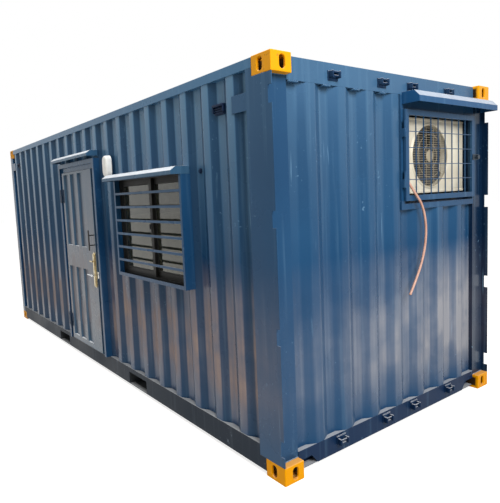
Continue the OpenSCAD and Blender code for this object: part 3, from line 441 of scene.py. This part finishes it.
def floatGlass(name):
    material, tree, shader, coords = startMaterial(name)
    ripple = addNode(tree, "TexNoise", {
        "Vector": coords["Object"], "Scale": 1 / glassSpec["ripple"], "Detail": 1})
    normal = addNode(tree, "Bump", {
        "Height": ripple, "Distance": glassSpec["rippleMm"] * mm, "Strength": 0.5})
    film = addNode(tree, "TexNoise", {
        "Vector": coords["Object"], "Scale": 1 / glassSpec["film"], "Detail": 4})
    sheen = addNode(tree, "MapRange", {
        "Value": film, "To Min": glassSpec["rough"][0], "To Max": glassSpec["rough"][1]})
    setInputs(tree, shader, {
        "Base Color": hexLinear(glassSpec["tint"]), "Roughness": sheen, "Normal": normal,
        "IOR": 1.52, "Transmission Weight": 0.9})
    return material


ply = plywood("oiledPlywood")
glass = floatGlass("tintedFloatGlass")


def dress(material, *names):
    for name in names:
        cad[name].data.materials.clear()
        cad[name].data.materials.append(material)


dress(yellowPaint, "bottom_corner_castings", "top_corner_castings")
dress(navyPaint, "blind_end_header", "ac_end_header")
dress(hoodPaint, "ac_canopy")
dress(roofPaint, "roof_panel")
# the post beside the gate takes the darker copy, painted shade under the hood
dress(paintedShadePaint, "ac_end_post_right")
dress(framePaint, "blind_end_posts", "ac_end_post_left", "corner_gussets", "door_frame",
      "window_surround", "window_bars", "ac_opening_frame", "ac_guard_gate", "gate_hinge_lugs")
dress(canopyPaint, "door_canopy", "window_canopy")
dress(paintedHighlightPaint, "top_side_rails")
dress(paintedShadeRailPaint, "bottom_side_rail_front", "bottom_side_rail_back")
dress(paintedShadeRecessPaint, "ac_recess")
dress(sillPaint, "blind_end_sill", "ac_end_sill")
dress(underseal, "cross_members", "fork_pockets")
dress(ply, "floor_boards")
dress(hingeSteel, "door_hinge_lugs", "door_hinge_straps")
dress(doorPaint, "door_leaf")
dress(brass, "door_lock_plate")
dress(blackSteel, "door_pull_handle")
dress(chrome, "door_lever")
dress(darkAlloy, "window_sashes")
dress(glass, "window_glass")
dress(enamel, "ac_unit_case")
# the lock's zinc is darkened as painted shade
dress(paintedShadeZinc, "gate_lock")
print("solids dressed")


# turns a bmesh into a piece on a body, shaded smooth up to a crease angle
def addPiece(bm, name, material, body, replaced=(), crease=35):
    mesh = bpy.data.meshes.new(name)
    bm.to_mesh(mesh)
    bm.free()
    mesh.materials.append(material)
    mesh.shade_smooth()
    mesh.set_sharp_from_angle(angle=math.radians(crease))
    piece = bpy.data.objects.new(name, mesh)
    scene.collection.objects.link(piece)
    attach(piece, body)
    if replaced:
        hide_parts(*replaced)


# drain hose threaded through the gate, on the route of its solid
hoseSpec = {
    "diameter": 0.018,
    "route": [
        (2.924, 0.1084, 1.940), (2.950, 0.1124, 1.892), (2.976, 0.1194, 1.844),
        (2.999, 0.1314, 1.797), (3.016, 0.154, 1.750), (3.025, 0.186, 1.705),
        (3.028, 0.226, 1.656), (3.028, 0.267, 1.568), (3.028, 0.284, 1.454),
        (3.028, 0.267, 1.330), (3.028, 0.221, 1.210), (3.028, 0.150, 1.094),
        (3.028, 0.074, 0.990)],
    "steps": 48,
    "roundness": 5,
}


def alongRoute(route, t):
    last = len(route) - 1
    i = min(int(t * last), last - 1)
    u = t * last - i
    a, b, c, d = (Vector(route[min(max(k, 0), last)]) for k in (i - 1, i, i + 1, i + 2))
    return 0.5 * (2 * b + (c - a) * u + (2 * a - 5 * b + 4 * c - d) * u * u
                  + (3 * b - a - 3 * c + d) * u ** 3)


hoseLine = [alongRoute(hoseSpec["route"], k / hoseSpec["steps"])
            for k in range(hoseSpec["steps"] + 1)]
hoseCurve = bpy.data.curves.new("drainHose", "CURVE")
hoseCurve.dimensions = "3D"
hoseCurve.bevel_depth = hoseSpec["diameter"] / 2
hoseCurve.bevel_resolution = hoseSpec["roundness"]
spline = hoseCurve.splines.new("POLY")
spline.points.add(len(hoseLine) - 1)
for point, spot in zip(spline.points, hoseLine):
    point.co = (*spot, 1)
hose = bpy.data.objects.new("drainHose", hoseCurve)
scene.collection.objects.link(hose)
hoseCurve.materials.append(hosePvc)
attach(hose, "gate")
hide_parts("drain_hose")


# wall sheets with rounded folds, in millimetres as in the solids
sheetSpec = {
    "pitch": 283, "flat": 72, "slope": 68, "depth": 36, "thick": 2, "bend": 10, "bendSteps": 4,
    "sideY": 1214, "acX": 2979, "blindX": -3020, "farX": -2917, "postX": 2795, "inY": 1057,
    "phase": 43, "blindPhase": -36, "acPhase": -609, "notch": (-2851, 2473),
    "foot": 192, "top": 2525, "endFoot": 152, "blindTop": 2505, "acTop": 2446, "acLowTop": 1617,
    "acSplit": 50, "door": (-657.5, 419.5, 2205), "window": (935, 2105, 1106, 1980),
}


# corners of the folds as (distance along the wall, depth), between two ends of a panel
def foldPath(start, end, first, low, high):
    pitch, flat, slope, depth = (sheetSpec[k] for k in ("pitch", "flat", "slope", "depth"))
    corners = []
    k = math.floor((low - first) / pitch) - 1
    while first + k * pitch < high + pitch:
        x = first + k * pitch
        if x - slope >= low and x + flat + slope <= high:
            corners += [(x - slope, depth), (x, 0), (x + flat, 0), (x + flat + slope, depth)]
        k += 1
    corners = [(low, depth)] + corners + [(high, depth)]

    def depthAt(x):
        for (x0, d0), (x1, d1) in zip(corners, corners[1:]):
            if x0 <= x <= x1:
                return d0 + (d1 - d0) * (x - x0) / max(x1 - x0, 1e-6)
        return depth

    inside = [c for c in corners if start + 1 < c[0] < end - 1]
    return [(start, depthAt(start))] + inside + [(end, depthAt(end))]


def foldedWall(name, node, path, bottom, top, stand, outward, notched=False):
    bm = bmesh.new()
    foot = [bm.verts.new((*(c * mm for c in stand(u, d)), bottom * mm)) for u, d in path]
    line = [bm.edges.new(pair) for pair in zip(foot, foot[1:])]
    raised = bmesh.ops.extrude_edge_only(bm, edges=line)["geom"]
    bmesh.ops.translate(bm, verts=[v for v in raised if isinstance(v, bmesh.types.BMVert)],
                        vec=(0, 0, (top - bottom) * mm))
    if notched:  # stops under the far top casting
        x, z = (c * mm for c in sheetSpec["notch"])
        for spot, across in (((x, 0, 0), (1, 0, 0)), ((0, 0, z), (0, 0, 1))):
            bmesh.ops.bisect_plane(bm, geom=bm.verts[:] + bm.edges[:] + bm.faces[:], dist=1e-6,
                                   plane_co=spot, plane_no=across)
        middles = {f: f.calc_center_median() for f in bm.faces}
        cut = [f for f, middle in middles.items() if middle.x < x and middle.z > z]
        bmesh.ops.delete(bm, geom=cut, context="FACES")
    bm.normal_update()
    if sum((f.normal for f in bm.faces), Vector()).dot(outward) < 0:
        bmesh.ops.reverse_faces(bm, faces=bm.faces[:])
    folds = [e for e in bm.edges if len(e.link_faces) == 2 and e.calc_face_angle(0) > 0.1]
    bmesh.ops.bevel(bm, geom=folds, offset=sheetSpec["bend"] * mm, offset_type="OFFSET",
                    segments=sheetSpec["bendSteps"], profile=0.5, affect="EDGES", material=-1,
                    clamp_overlap=True)
    bm.normal_update()
    bmesh.ops.solidify(bm, geom=bm.faces[:], thickness=sheetSpec["thick"] * mm)
    addPiece(bm, name, navyPaint, "shell", [node])


def onFront(u, d):
    return u, -sheetSpec["sideY"] + d


def onBack(u, d):
    return u, sheetSpec["sideY"] - d


def onAcEnd(u, d):
    return sheetSpec["acX"] - d, u


def onBlindEnd(u, d):
    return sheetSpec["blindX"] + d, -u


farX, postX, inY, foot, top = (sheetSpec[k] for k in ("farX", "postX", "inY", "foot", "top"))
doorX0, doorX1, doorTop = sheetSpec["door"]
winX0, winX1, winLow, winTop = sheetSpec["window"]
frontPanels = [
    ("wallSheetLeft", "front_wall_left", farX, doorX0, foot, top),
    ("wallSheetOverDoor", "front_wall_over_door", doorX0, doorX1, doorTop, top),
    ("wallSheetBetween", "front_wall_between", doorX1, winX0, foot, top),
    ("wallSheetOverWindow", "front_wall_over_window", winX0, winX1, winTop, top),
    ("wallSheetUnderWindow", "front_wall_under_window", winX0, winX1, foot, winLow),
    ("wallSheetRight", "front_wall_right", winX1, postX, foot, top),
]
for name, node, x0, x1, z0, z1 in frontPanels:
    path = foldPath(x0, x1, sheetSpec["phase"], farX, postX)
    foldedWall(name, node, path, z0, z1, onFront, Vector((0, -1, 0)), notched=x0 == farX)
path = foldPath(farX, postX, sheetSpec["phase"], farX, postX)
foldedWall("wallSheetBack", "back_wall", path, foot, top, onBack, Vector((0, 1, 0)), notched=True)
endPanels = [
    ("wallSheetBlindEnd", "blind_end_wall", -inY, inY, "blindPhase", "blindTop", onBlindEnd, -1),
    ("wallSheetAcEnd", "ac_end_wall", -inY, sheetSpec["acSplit"], "acPhase", "acTop", onAcEnd, 1),
    ("wallSheetAcEndLower", "ac_end_wall_lower", sheetSpec["acSplit"], inY, "acPhase", "acLowTop",
     onAcEnd, 1),
]
for name, node, y0, y1, phase, high, stand, outX in endPanels:
    path = foldPath(y0, y1, sheetSpec[phase], -inY, inY)
    foldedWall(name, node, path, sheetSpec["endFoot"], sheetSpec[high], stand,
               Vector((outX, 0, 0)))
print("wall sheets folded")


# a box between two corners in millimetres, with its edges rounded
def addBlock(bm, low, high, rounding, segments=2):
    low, high = Vector(low) * mm, Vector(high) * mm
    size = [abs(c) for c in high - low]
    box = Matrix.Translation((low + high) / 2) @ Matrix.Diagonal((*size, 1))
    corners = bmesh.ops.create_cube(bm, size=1, matrix=box)["verts"]
    edges = list(dict.fromkeys(edge for corner in corners for edge in corner.link_edges))
    bmesh.ops.bevel(bm, geom=edges, offset=rounding * mm, offset_type="OFFSET",
                    segments=segments, profile=0.5, affect="EDGES", material=-1,
                    clamp_overlap=True)


# a round bar between two points in millimetres
def addRod(bm, start, end, radius, sides=8):
    start, end = Vector(start) * mm, Vector(end) * mm
    along = (end - start).to_track_quat("Z", "Y").to_matrix().to_4x4()
    bmesh.ops.create_cone(bm, cap_ends=True, segments=sides, radius1=radius * mm,
                          radius2=radius * mm, depth=(end - start).length,
                          matrix=Matrix.Translation((start + end) / 2) @ along)


# a profile of (radius, height) in millimetres spun about an axis; a closed one gives a ring
def addTurned(bm, centre, axis, profile, steps, closed=False):
    centre, axis = Vector(centre) * mm, Vector(axis).normalized()
    side = axis.orthogonal().normalized()
    line = [bm.verts.new(centre + side * r * mm + axis * h * mm) for r, h in profile]
    pairs = zip(line, line[1:] + line[:1] if closed else line[1:])
    edges = [bm.edges.new(pair) for pair in pairs]
    before = set(bm.faces)
    bmesh.ops.spin(bm, geom=line + edges, cent=centre, axis=axis, angle=math.tau, steps=steps,
                   use_merge=True)
    fresh = [f for f in bm.faces if f not in before]
    verts = list(dict.fromkeys(v for f in fresh for v in f.verts))
    bmesh.ops.remove_doubles(bm, verts=verts, dist=1e-6)
    bmesh.ops.recalc_face_normals(bm, faces=[f for f in bm.faces if f not in before])


def ringProfile(radius, wire, points=8):
    turns = [math.tau * k / points for k in range(points)]
    return [(radius + wire * math.cos(t), wire * math.sin(t)) for t in turns]


toAc, toFront = (1, 0, 0), (0, -1, 0)
screwProfile = [(0, 1.6), (2, 2.4), (4.5, 2), (5.5, 0.8), (5.8, 0)]


# wire guard over the fan: level wires, stays, two hoops, a rim and a boss
guardSpec = {
    "centre": (2912, 532, 2020.5), "rim": 240, "rimWire": 4, "wire": 1.7, "gap": 18,
    "hoops": (92, 168), "stays": (-150, -50, 50, 150), "stayBack": 2, "bossBack": 3,
    "boss": [(0, 5), (30, 5), (44, 3), (48, 0), (0, 0)]}
bm = bmesh.new()
gx, gy, gz = guardSpec["centre"]
rim, wire = guardSpec["rim"], guardSpec["wire"]
addTurned(bm, guardSpec["centre"], toAc, ringProfile(rim, guardSpec["rimWire"]), 64, True)
for radius in guardSpec["hoops"]:
    addTurned(bm, guardSpec["centre"], toAc, ringProfile(radius, wire), 48, True)
rows = int(rim / guardSpec["gap"])
for row in range(-rows, rows + 1):
    rise = row * guardSpec["gap"]
    half = math.sqrt(rim ** 2 - rise ** 2)
    addRod(bm, (gx, gy - half, gz + rise), (gx, gy + half, gz + rise), wire, 6)
for offset in guardSpec["stays"]:
    half, x, y = math.sqrt(rim ** 2 - offset ** 2), gx - guardSpec["stayBack"], gy + offset
    addRod(bm, (x, y, gz - half), (x, y, gz + half), wire, 6)
addTurned(bm, (gx - guardSpec["bossBack"], gy, gz), toAc, guardSpec["boss"], 32)
addPiece(bm, "fanWireGuard", guardWire, "shell", ["ac_fan_guard"], 50)

# three swept blades on a hub, in the well behind the guard
fanSpec = {
    "centre": (2866, 532, 2020.5), "sunk": 46, "tip": 226, "sweep": 82, "rise": 34, "blades": 3,
    "sheet": 3, "across": 6, "steps": 12, "hub": [(0, 36), (40, 36), (50, 28), (52, 0), (0, 0)]}
bm = bmesh.new()
root = Vector(fanSpec["centre"])
span = fanSpec["tip"] - fanSpec["sunk"]
reach = [fanSpec["sunk"] + span * s / fanSpec["across"] for s in range(fanSpec["across"] + 1)]
for k in range(fanSpec["blades"]):
    lead = math.tau * k / fanSpec["blades"]
    spots = [root + Vector((0, r * math.cos(lead), r * math.sin(lead))) for r in reach]
    line = [bm.verts.new(spot * mm) for spot in spots]
    edges = [bm.edges.new(pair) for pair in zip(line, line[1:])]
    before = set(bm.faces)
    bmesh.ops.spin(bm, geom=line + edges, cent=root * mm, axis=toAc,
                   dvec=(fanSpec["rise"] * mm / fanSpec["steps"], 0, 0),
                   angle=math.radians(fanSpec["sweep"]), steps=fanSpec["steps"])
    blade = [f for f in bm.faces if f not in before]
    bmesh.ops.solidify(bm, geom=blade, thickness=fanSpec["sheet"] * mm)
addTurned(bm, fanSpec["centre"], toAc, fanSpec["hub"], 32)
addPiece(bm, "fanBlades", fanPlastic, "shell")

# finned coil seen behind the blades
coilSpec = {"floor": 2849, "radius": 236, "gap": 11, "fin": 3, "plate": 2}
bm = bmesh.new()
plate, radius = coilSpec["plate"], coilSpec["radius"]
addTurned(bm, (coilSpec["floor"], gy, gz), toAc,
          [(0, plate), (radius, plate), (radius, 0), (0, 0)], 64)
fins = int(radius / coilSpec["gap"])
x = coilSpec["floor"] + coilSpec["fin"]
for k in range(-fins, fins + 1):
    offset = k * coilSpec["gap"]
    half = math.sqrt(radius ** 2 - offset ** 2)
    addRod(bm, (x, gy + offset, gz - half), (x, gy + offset, gz + half), coilSpec["fin"], 6)
addPiece(bm, "coilFins", blackSteel, "shell")

# trim of the unit: lid, bottom tray, service panel with its screws, bell mouth and finger grip
unitSpec = {
    "lid": ((2606, 210, 2292), (2913, 1023, 2311)),
    "tray": ((2606, 210, 1731), (2913, 1023, 1751)),
    "panel": ((2907, 858, 1759), (2912, 1015, 2284)),
    "screws": (2912, (870, 1003), (1777, 2020.5, 2266)),
    "mouthX": 2909, "mouth": [(241, -2), (241, 4), (246, 8), (253, 6), (258, 0), (258, -2)],
    "grip": ((2911, 905, 2190), (2914, 985, 2193)), "gripSlots": 9, "gripGap": 9}
bm = bmesh.new()
addBlock(bm, *unitSpec["lid"], 5, 3)
addBlock(bm, *unitSpec["tray"], 4, 3)
addBlock(bm, *unitSpec["panel"], 2)
addTurned(bm, (unitSpec["mouthX"], gy, gz), toAc, unitSpec["mouth"], 64, True)
x, screwsY, screwsZ = unitSpec["screws"]
for z in screwsZ:
    for y in screwsY:
        addTurned(bm, (x, y, z), toAc, screwProfile, 12)
for k in range(unitSpec["gripSlots"]):
    down = Vector((0, 0, k * unitSpec["gripGap"]))
    addBlock(bm, *(Vector(corner) - down for corner in unitSpec["grip"]), 1)
addPiece(bm, "unitTrim", enamel, "shell")
print("cooling unit trimmed")

# rubber blocks round the feet of the unit
feetSpec = {"across": (324, 909), "half": 33, "low": (2625, 1661.5), "high": (2893, 1732)}
bm = bmesh.new()
(x0, z0), (x1, z1) = feetSpec["low"], feetSpec["high"]
for y in feetSpec["across"]:
    addBlock(bm, (x0, y - feetSpec["half"], z0), (x1, y + feetSpec["half"], z1), 4, 3)
addPiece(bm, "feetBlocks", gasketRubber, "shell")

# bulkhead lamp: a stadium base, a bezel and a domed lens, raised in steps of (inset, height)
bulkheadSpec = {
    "centre": (695, -1214, 2102), "wide": 110, "tall": 206,
    "steps": [(0.01, 12), (1, 1), (1.5, 0), (0.01, -3), (0.5, 26), (1.5, 8), (3, 6), (5, 4),
              (7, 2), (9, 0.8)]}
bm = bmesh.new()
middle = Vector(bulkheadSpec["centre"]) * mm
upright = Matrix.Translation(middle) @ Matrix.Rotation(math.radians(90), 4, "X")
bmesh.ops.create_circle(bm, cap_ends=True, segments=40, radius=bulkheadSpec["wide"] / 2 * mm,
                        matrix=upright)
lift = (bulkheadSpec["tall"] - bulkheadSpec["wide"]) / 2 * mm
for vert in bm.verts:
    vert.co.z += lift if vert.co.z > bulkheadSpec["centre"][2] * mm else -lift
bm.normal_update()
lens = bm.faces[:]
if lens[0].normal.y > 0:
    bmesh.ops.reverse_faces(bm, faces=lens)
for inset, height in bulkheadSpec["steps"]:
    bmesh.ops.inset_region(bm, faces=lens, thickness=inset * mm, depth=height * mm,
                           use_even_offset=True, use_boundary=True)
bmesh.ops.holes_fill(bm, edges=[e for e in bm.edges if e.is_boundary], sides=0)
bmesh.ops.recalc_face_normals(bm, faces=bm.faces[:])
addPiece(bm, "bulkheadLamp", opal, "shell", ["bulkhead_light"], 40)

# ventilators in the hollows: a body, a moulded hood with cheeks, and three louvres, each given
# as (half width, front, back, low, high)
ventSpec = {
    "spots": (2484.5, -2609.5), "body": (52, -1196, -1177, 2308, 2372),
    "hood": (58, -1218, -1177, 2360, 2376), "cheek": (4, -1212, -1179, 2322, 2370),
    "cheekOut": 54, "louvre": (48, -1206, -1192, 2314, 2321), "louvres": 3, "louvreGap": 15}
bm = bmesh.new()
for x in ventSpec["spots"]:
    forms = [(x, 0, "body", 5, 3), (x, 0, "hood", 6, 3)]
    forms += [(x + end * ventSpec["cheekOut"], 0, "cheek", 3, 2) for end in (-1, 1)]
    forms += [(x, k * ventSpec["louvreGap"], "louvre", 3, 2) for k in range(ventSpec["louvres"])]
    for middle, lift, form, rounding, segments in forms:
        half, front, back, low, high = ventSpec[form]
        addBlock(bm, (middle - half, front, low + lift), (middle + half, back, high + lift),
                 rounding, segments)
addPiece(bm, "louvredVents", ventPlastic, "shell", ["wall_vents"])

# cam keepers left from the cargo doors: plate, two ears, a lip, a pin between the ears and welds
keeperSpec = {
    "across": (-659.6, -164.9, 175.5, 659.6), "top": 2505, "bottom": 106, "side": 45, "half": 28,
    "face": 2979, "plate": 2987, "root": 2985, "earFront": 3021, "earIn": 11, "ear": 7,
    "earShort": 10, "lipFront": 3006, "lipIn": 18, "lipTall": 12, "pinIn": 6, "pinUp": 4,
    "pin": 6, "weldX": 2981, "weld": 3.5}
bm = bmesh.new()
side, half, root = keeperSpec["side"], keeperSpec["half"], keeperSpec["root"]
for y in keeperSpec["across"]:
    for z, up in ((keeperSpec["top"], -1), (keeperSpec["bottom"], 1)):
        addBlock(bm, (keeperSpec["face"], y - side, z - half),
                 (keeperSpec["plate"], y + side, z + half), 3, 3)
        for end in (-1, 1):
            middle = y + end * (side - keeperSpec["earIn"])
            addBlock(bm, (root, middle - keeperSpec["ear"], z - up * half),
                     (keeperSpec["earFront"], middle + keeperSpec["ear"],
                      z + up * (half - keeperSpec["earShort"])), 6, 3)
        reach = side - keeperSpec["lipIn"]
        addBlock(bm, (root, y - reach, z - up * half),
                 (keeperSpec["lipFront"], y + reach, z - up * (half - keeperSpec["lipTall"])),
                 4, 3)
        x, reach = keeperSpec["lipFront"], side - keeperSpec["pinIn"]
        pinZ = z + up * keeperSpec["pinUp"]
        addRod(bm, (x, y - reach, pinZ), (x, y + reach, pinZ), keeperSpec["pin"], 12)
        for end in (-1, 1):
            x, weldZ = keeperSpec["weldX"], z + end * half
            addRod(bm, (x, y - side, weldZ), (x, y + side, weldZ), keeperSpec["weld"])
addPiece(bm, "camKeepers", sillPaint, "shell", ["cam_keepers"])

# drip lips over the hollows under the end header; their tops take the pale dust and painted
# highlight of the navy paint
lipSpec = {"spans": ((-1046, -964), (-748, -682), (-465, -399), (-182, -116)),
           "back": 2944, "front": 2986, "low": 2436, "high": 2445}
bm = bmesh.new()
for start, end in lipSpec["spans"]:
    addBlock(bm, (lipSpec["back"], start, lipSpec["low"]),
             (lipSpec["front"], end, lipSpec["high"]), 3)
addPiece(bm, "hollowLips", navyPaint, "shell")

# hinge leaves screwed to the door below its straps, with screws in both
hingeSpec = {"levels": (416, 1850), "left": -557, "right": -524, "front": -1266, "back": -1261,
             "low": 76, "high": 1, "screws": ((-58, 0), (-20, 0), (20, 2), (56, 2))}
bm = bmesh.new()
middle = (hingeSpec["left"] + hingeSpec["right"]) / 2
for z in hingeSpec["levels"]:
    addBlock(bm, (hingeSpec["left"], hingeSpec["front"], z - hingeSpec["low"]),
             (hingeSpec["right"], hingeSpec["back"], z - hingeSpec["high"]), 2)
    for rise, proud in hingeSpec["screws"]:
        addTurned(bm, (middle, hingeSpec["front"] - proud, z + rise), toFront, screwProfile, 12)
addPiece(bm, "hingeLeaves", hingeSteel, "door")

# hinge plates on the door frame, at the levels of the leaves
plateSpec = {"left": -655, "right": -585, "front": -1270, "back": -1266, "rise": 75,
             "screwX": -634, "screws": (-55, 0, 55)}
bm = bmesh.new()
for z in hingeSpec["levels"]:
    addBlock(bm, (plateSpec["left"], plateSpec["front"], z - plateSpec["rise"]),
             (plateSpec["right"], plateSpec["back"], z + plateSpec["rise"]), 1.5)
    for rise in plateSpec["screws"]:
        addTurned(bm, (plateSpec["screwX"], plateSpec["front"], z + rise), toFront,
                  screwProfile, 12)
addPiece(bm, "hingePlates", hingeSteel, "shell")

# lock plate trim: fixing screws and a keyhole rose
lockSpec = {"x": 286.5, "front": -1282, "screws": (922, 1238), "keyhole": 1096,
            "rose": [(0, 4), (5, 4), (5, 2), (8, 3), (11, 2), (12, 0)]}
bm = bmesh.new()
for z in lockSpec["screws"]:
    addTurned(bm, (lockSpec["x"], lockSpec["front"], z), toFront, screwProfile, 16)
addTurned(bm, (lockSpec["x"], lockSpec["front"], lockSpec["keyhole"]), toFront,
          lockSpec["rose"], 24)
addPiece(bm, "lockTrim", brass, "door")

# keep on the frame beside the lever
keepSpec = {"box": ((328, -1264, 996), (356, -1242, 1062)),
            "plate": ((326, -1246, 980), (374, -1241, 1078)),
            "screws": ((350, -1246, 988), (350, -1246, 1070))}
bm = bmesh.new()
addBlock(bm, *keepSpec["box"], 3, 3)
addBlock(bm, *keepSpec["plate"], 2)
for spot in keepSpec["screws"]:
    addTurned(bm, spot, toFront, screwProfile, 16)
addPiece(bm, "lockKeep", chrome, "shell")

# rose and bar end of the lever, in front of the plate
leverSpec = {"rose": (286.5, -1313, 1028), "bar": ((286.5, -1312, 1020), (320.5, -1300, 1036)),
             "profile": [(0, 4), (9, 4), (13, 2), (14, 0), (0, 0)]}
bm = bmesh.new()
addTurned(bm, leverSpec["rose"], toFront, leverSpec["profile"], 32)
addBlock(bm, *leverSpec["bar"], 5, 3)
addPiece(bm, "leverRose", chrome, "lever")
print("lamp, vents, keepers and lock trim made")

# glazing gaskets round both panes
paneSpec = {"panes": ((1009, 1499, -1226), (1541, 2031, -1200)), "low": 1180, "high": 1906,
            "wide": 9, "proud": 4}
bm = bmesh.new()
z0, z1, wide = paneSpec["low"], paneSpec["high"], paneSpec["wide"]
for x0, x1, y in paneSpec["panes"]:
    out = y - paneSpec["proud"]
    for low, high in (((x0, out, z0), (x0 + wide, y, z1)), ((x1 - wide, out, z0), (x1, y, z1)),
                      ((x0 + wide, out, z0), (x1 - wide, y, z0 + wide)),
                      ((x0 + wide, out, z1 - wide), (x1 - wide, y, z1))):
        addBlock(bm, low, high, 2)
addPiece(bm, "paneGaskets", gasketRubber, "shell")

# latch where the sashes meet
latchSpec = {"plate": ((1503, -1240, 1500), (1517, -1233, 1590)),
             "catch": ((1506, -1252, 1532), (1514, -1238, 1574))}
bm = bmesh.new()
for low, high in latchSpec.values():
    addBlock(bm, low, high, 3, 3)
addPiece(bm, "sashLatch", blackSteel, "shell")

# weld beads where the posts meet the castings, rails and walls, in the lighter paint as a painted
# highlight along the edges
beadSpec = {"radius": 4, "levels": (118, 2473), "out": 1214.5,
            "along": ((2797, 2973), (-3022, -2919)),
            "across": ((2974, 1060, 1208), (-3023, 1060, 1216)),
            "upright": (2797, -2918), "low": 192, "high": 2470}
bm = bmesh.new()
radius = beadSpec["radius"]
for z in beadSpec["levels"]:
    for side in (-1, 1):
        y = side * beadSpec["out"]
        for x0, x1 in beadSpec["along"]:
            addRod(bm, (x0, y, z), (x1, y, z), radius)
        for x, y0, y1 in beadSpec["across"]:
            addRod(bm, (x, side * y0, z), (x, side * y1, z), radius)
for side in (-1, 1):
    y = side * beadSpec["out"]
    for x in beadSpec["upright"]:
        addRod(bm, (x, y, beadSpec["low"]), (x, y, beadSpec["high"]), radius)
addPiece(bm, "weldBeads", paintedHighlightPaint, "shell")

# cable gland beside the window, six-sided
glandSpec = {"spot": (2204, -1180, 1962), "sides": 6,
             "profile": [(0, 14), (7, 14), (10, 12), (13, 12), (14, 5), (20, 4), (21, 0)]}
bm = bmesh.new()
addTurned(bm, glandSpec["spot"], toFront, glandSpec["profile"], glandSpec["sides"])
addPiece(bm, "cableGland", ventPlastic, "shell")
print("window trim, beads and gland made")


# rounds the sharp edges of a solid without touching its mesh
edgeSpec = {"weldMm": 0.01, "segments": 3, "angle": 40}


def softenEdges(name, widthMm):
    weld = cad[name].modifiers.new("weld", "WELD")
    weld.merge_threshold = edgeSpec["weldMm"] * mm
    bevel = cad[name].modifiers.new("bevel", "BEVEL")
    bevel.width = widthMm * mm
    bevel.segments = edgeSpec["segments"]
    bevel.limit_method = "ANGLE"
    bevel.angle_limit = math.radians(edgeSpec["angle"])
    bevel.use_clamp_overlap = False
    bevel.harden_normals = True


# widths in millimetres, each under half the thickness of its plate
edgeWidths = {
    6: ("bottom_corner_castings", "top_corner_castings"),
    2.5: ("blind_end_posts",),
    2: ("window_surround",),
    1.8: ("bottom_side_rail_front", "bottom_side_rail_back", "top_side_rails", "ac_end_header",
          "blind_end_header", "window_bars"),
    1.5: ("window_sashes", "ac_opening_frame", "corner_gussets"),
    1.2: ("door_frame",),
    0.8: ("door_canopy", "window_canopy", "ac_unit_case", "ac_canopy"),
    0.5: ("gate_hinge_lugs",),
    0.45: ("ac_end_post_left", "ac_end_post_right", "ac_end_sill", "blind_end_sill"),
    0.4: ("door_leaf", "door_pull_handle", "door_hinge_straps", "door_hinge_lugs", "gate_lock"),
}
for widthMm, names in edgeWidths.items():
    for name in names:
        softenEdges(name, widthMm)
print("edges rounded")


# white floor that keeps the shadow, and plain studio light
studioSpec = {"size": 90, "colour": "#c9c5bd", "mottle": "#c4bfb6", "mottleSize": 0.8,
              "floorGlow": 0.78, "sky": 0.34}
bm = bmesh.new()
bmesh.ops.create_grid(bm, x_segments=1, y_segments=1, size=studioSpec["size"] / 2)
floorMesh = bpy.data.meshes.new("studioFloor")
bm.to_mesh(floorMesh)
bm.free()
floor = bpy.data.objects.new("studioFloor", floorMesh)
scene.collection.objects.link(floor)


# 1 on rays that show the background: the camera's, and those in gloss and glass
def shownRay(tree):
    ray = addNode(tree, "LightPath", {}, None)
    shown = addNode(tree, "Math", {0: ray["Is Camera Ray"], 1: ray["Is Glossy Ray"]},
                    operation="MAXIMUM")
    return addNode(tree, "Math", {0: shown, 1: ray["Is Transmission Ray"]}, operation="MAXIMUM")


floorMaterial, tree, shader, coords = startMaterial("paleStudioFloor")
mottle = addNode(tree, "TexNoise", {
    "Vector": coords["Object"], "Scale": 1 / studioSpec["mottleSize"], "Detail": 3})
colour = addNode(tree, "Mix", {
    mixBy: mottle, mixLow: hexLinear(studioSpec["colour"]),
    mixHigh: hexLinear(studioSpec["mottle"])}, mixOut, data_type="RGBA")
glow = addNode(tree, "MapRange", {"Value": shownRay(tree), "To Max": studioSpec["floorGlow"]})
setInputs(tree, shader, {
    "Base Color": colour, "Roughness": 0.9, "Emission Color": (1, 1, 1, 1),
    "Emission Strength": glow})
floorMesh.materials.append(floorMaterial)

world = bpy.data.worlds.new("studio")
scene.world = world
world.use_nodes = True
tree = world.node_tree
strength = addNode(tree, "MapRange", {
    "Value": shownRay(tree), "To Min": studioSpec["sky"], "To Max": 1})
setInputs(tree, tree.nodes["Background"], {"Color": (1, 1, 1, 1), "Strength": strength})

lampSpecs = [
    {"name": "endSide", "place": (8.0, -1.6, 5.6), "aim": (2.9, 0, 1.6), "size": 3.5,
     "power": 540},
    {"name": "overhead", "place": (1, -1.5, 9), "aim": (1, -0.8, 1), "size": 6, "power": 560},
]
for spec in lampSpecs:
    lamp = bpy.data.lights.new(spec["name"], "AREA")
    lamp.size = spec["size"]
    lamp.energy = spec["power"]
    holder = bpy.data.objects.new(spec["name"], lamp)
    scene.collection.objects.link(holder)
    holder.location = spec["place"]
    ahead = Vector(spec["aim"]) - Vector(spec["place"])
    holder.rotation_euler = ahead.to_track_quat("-Z", "Y").to_euler()
print("studio lit")
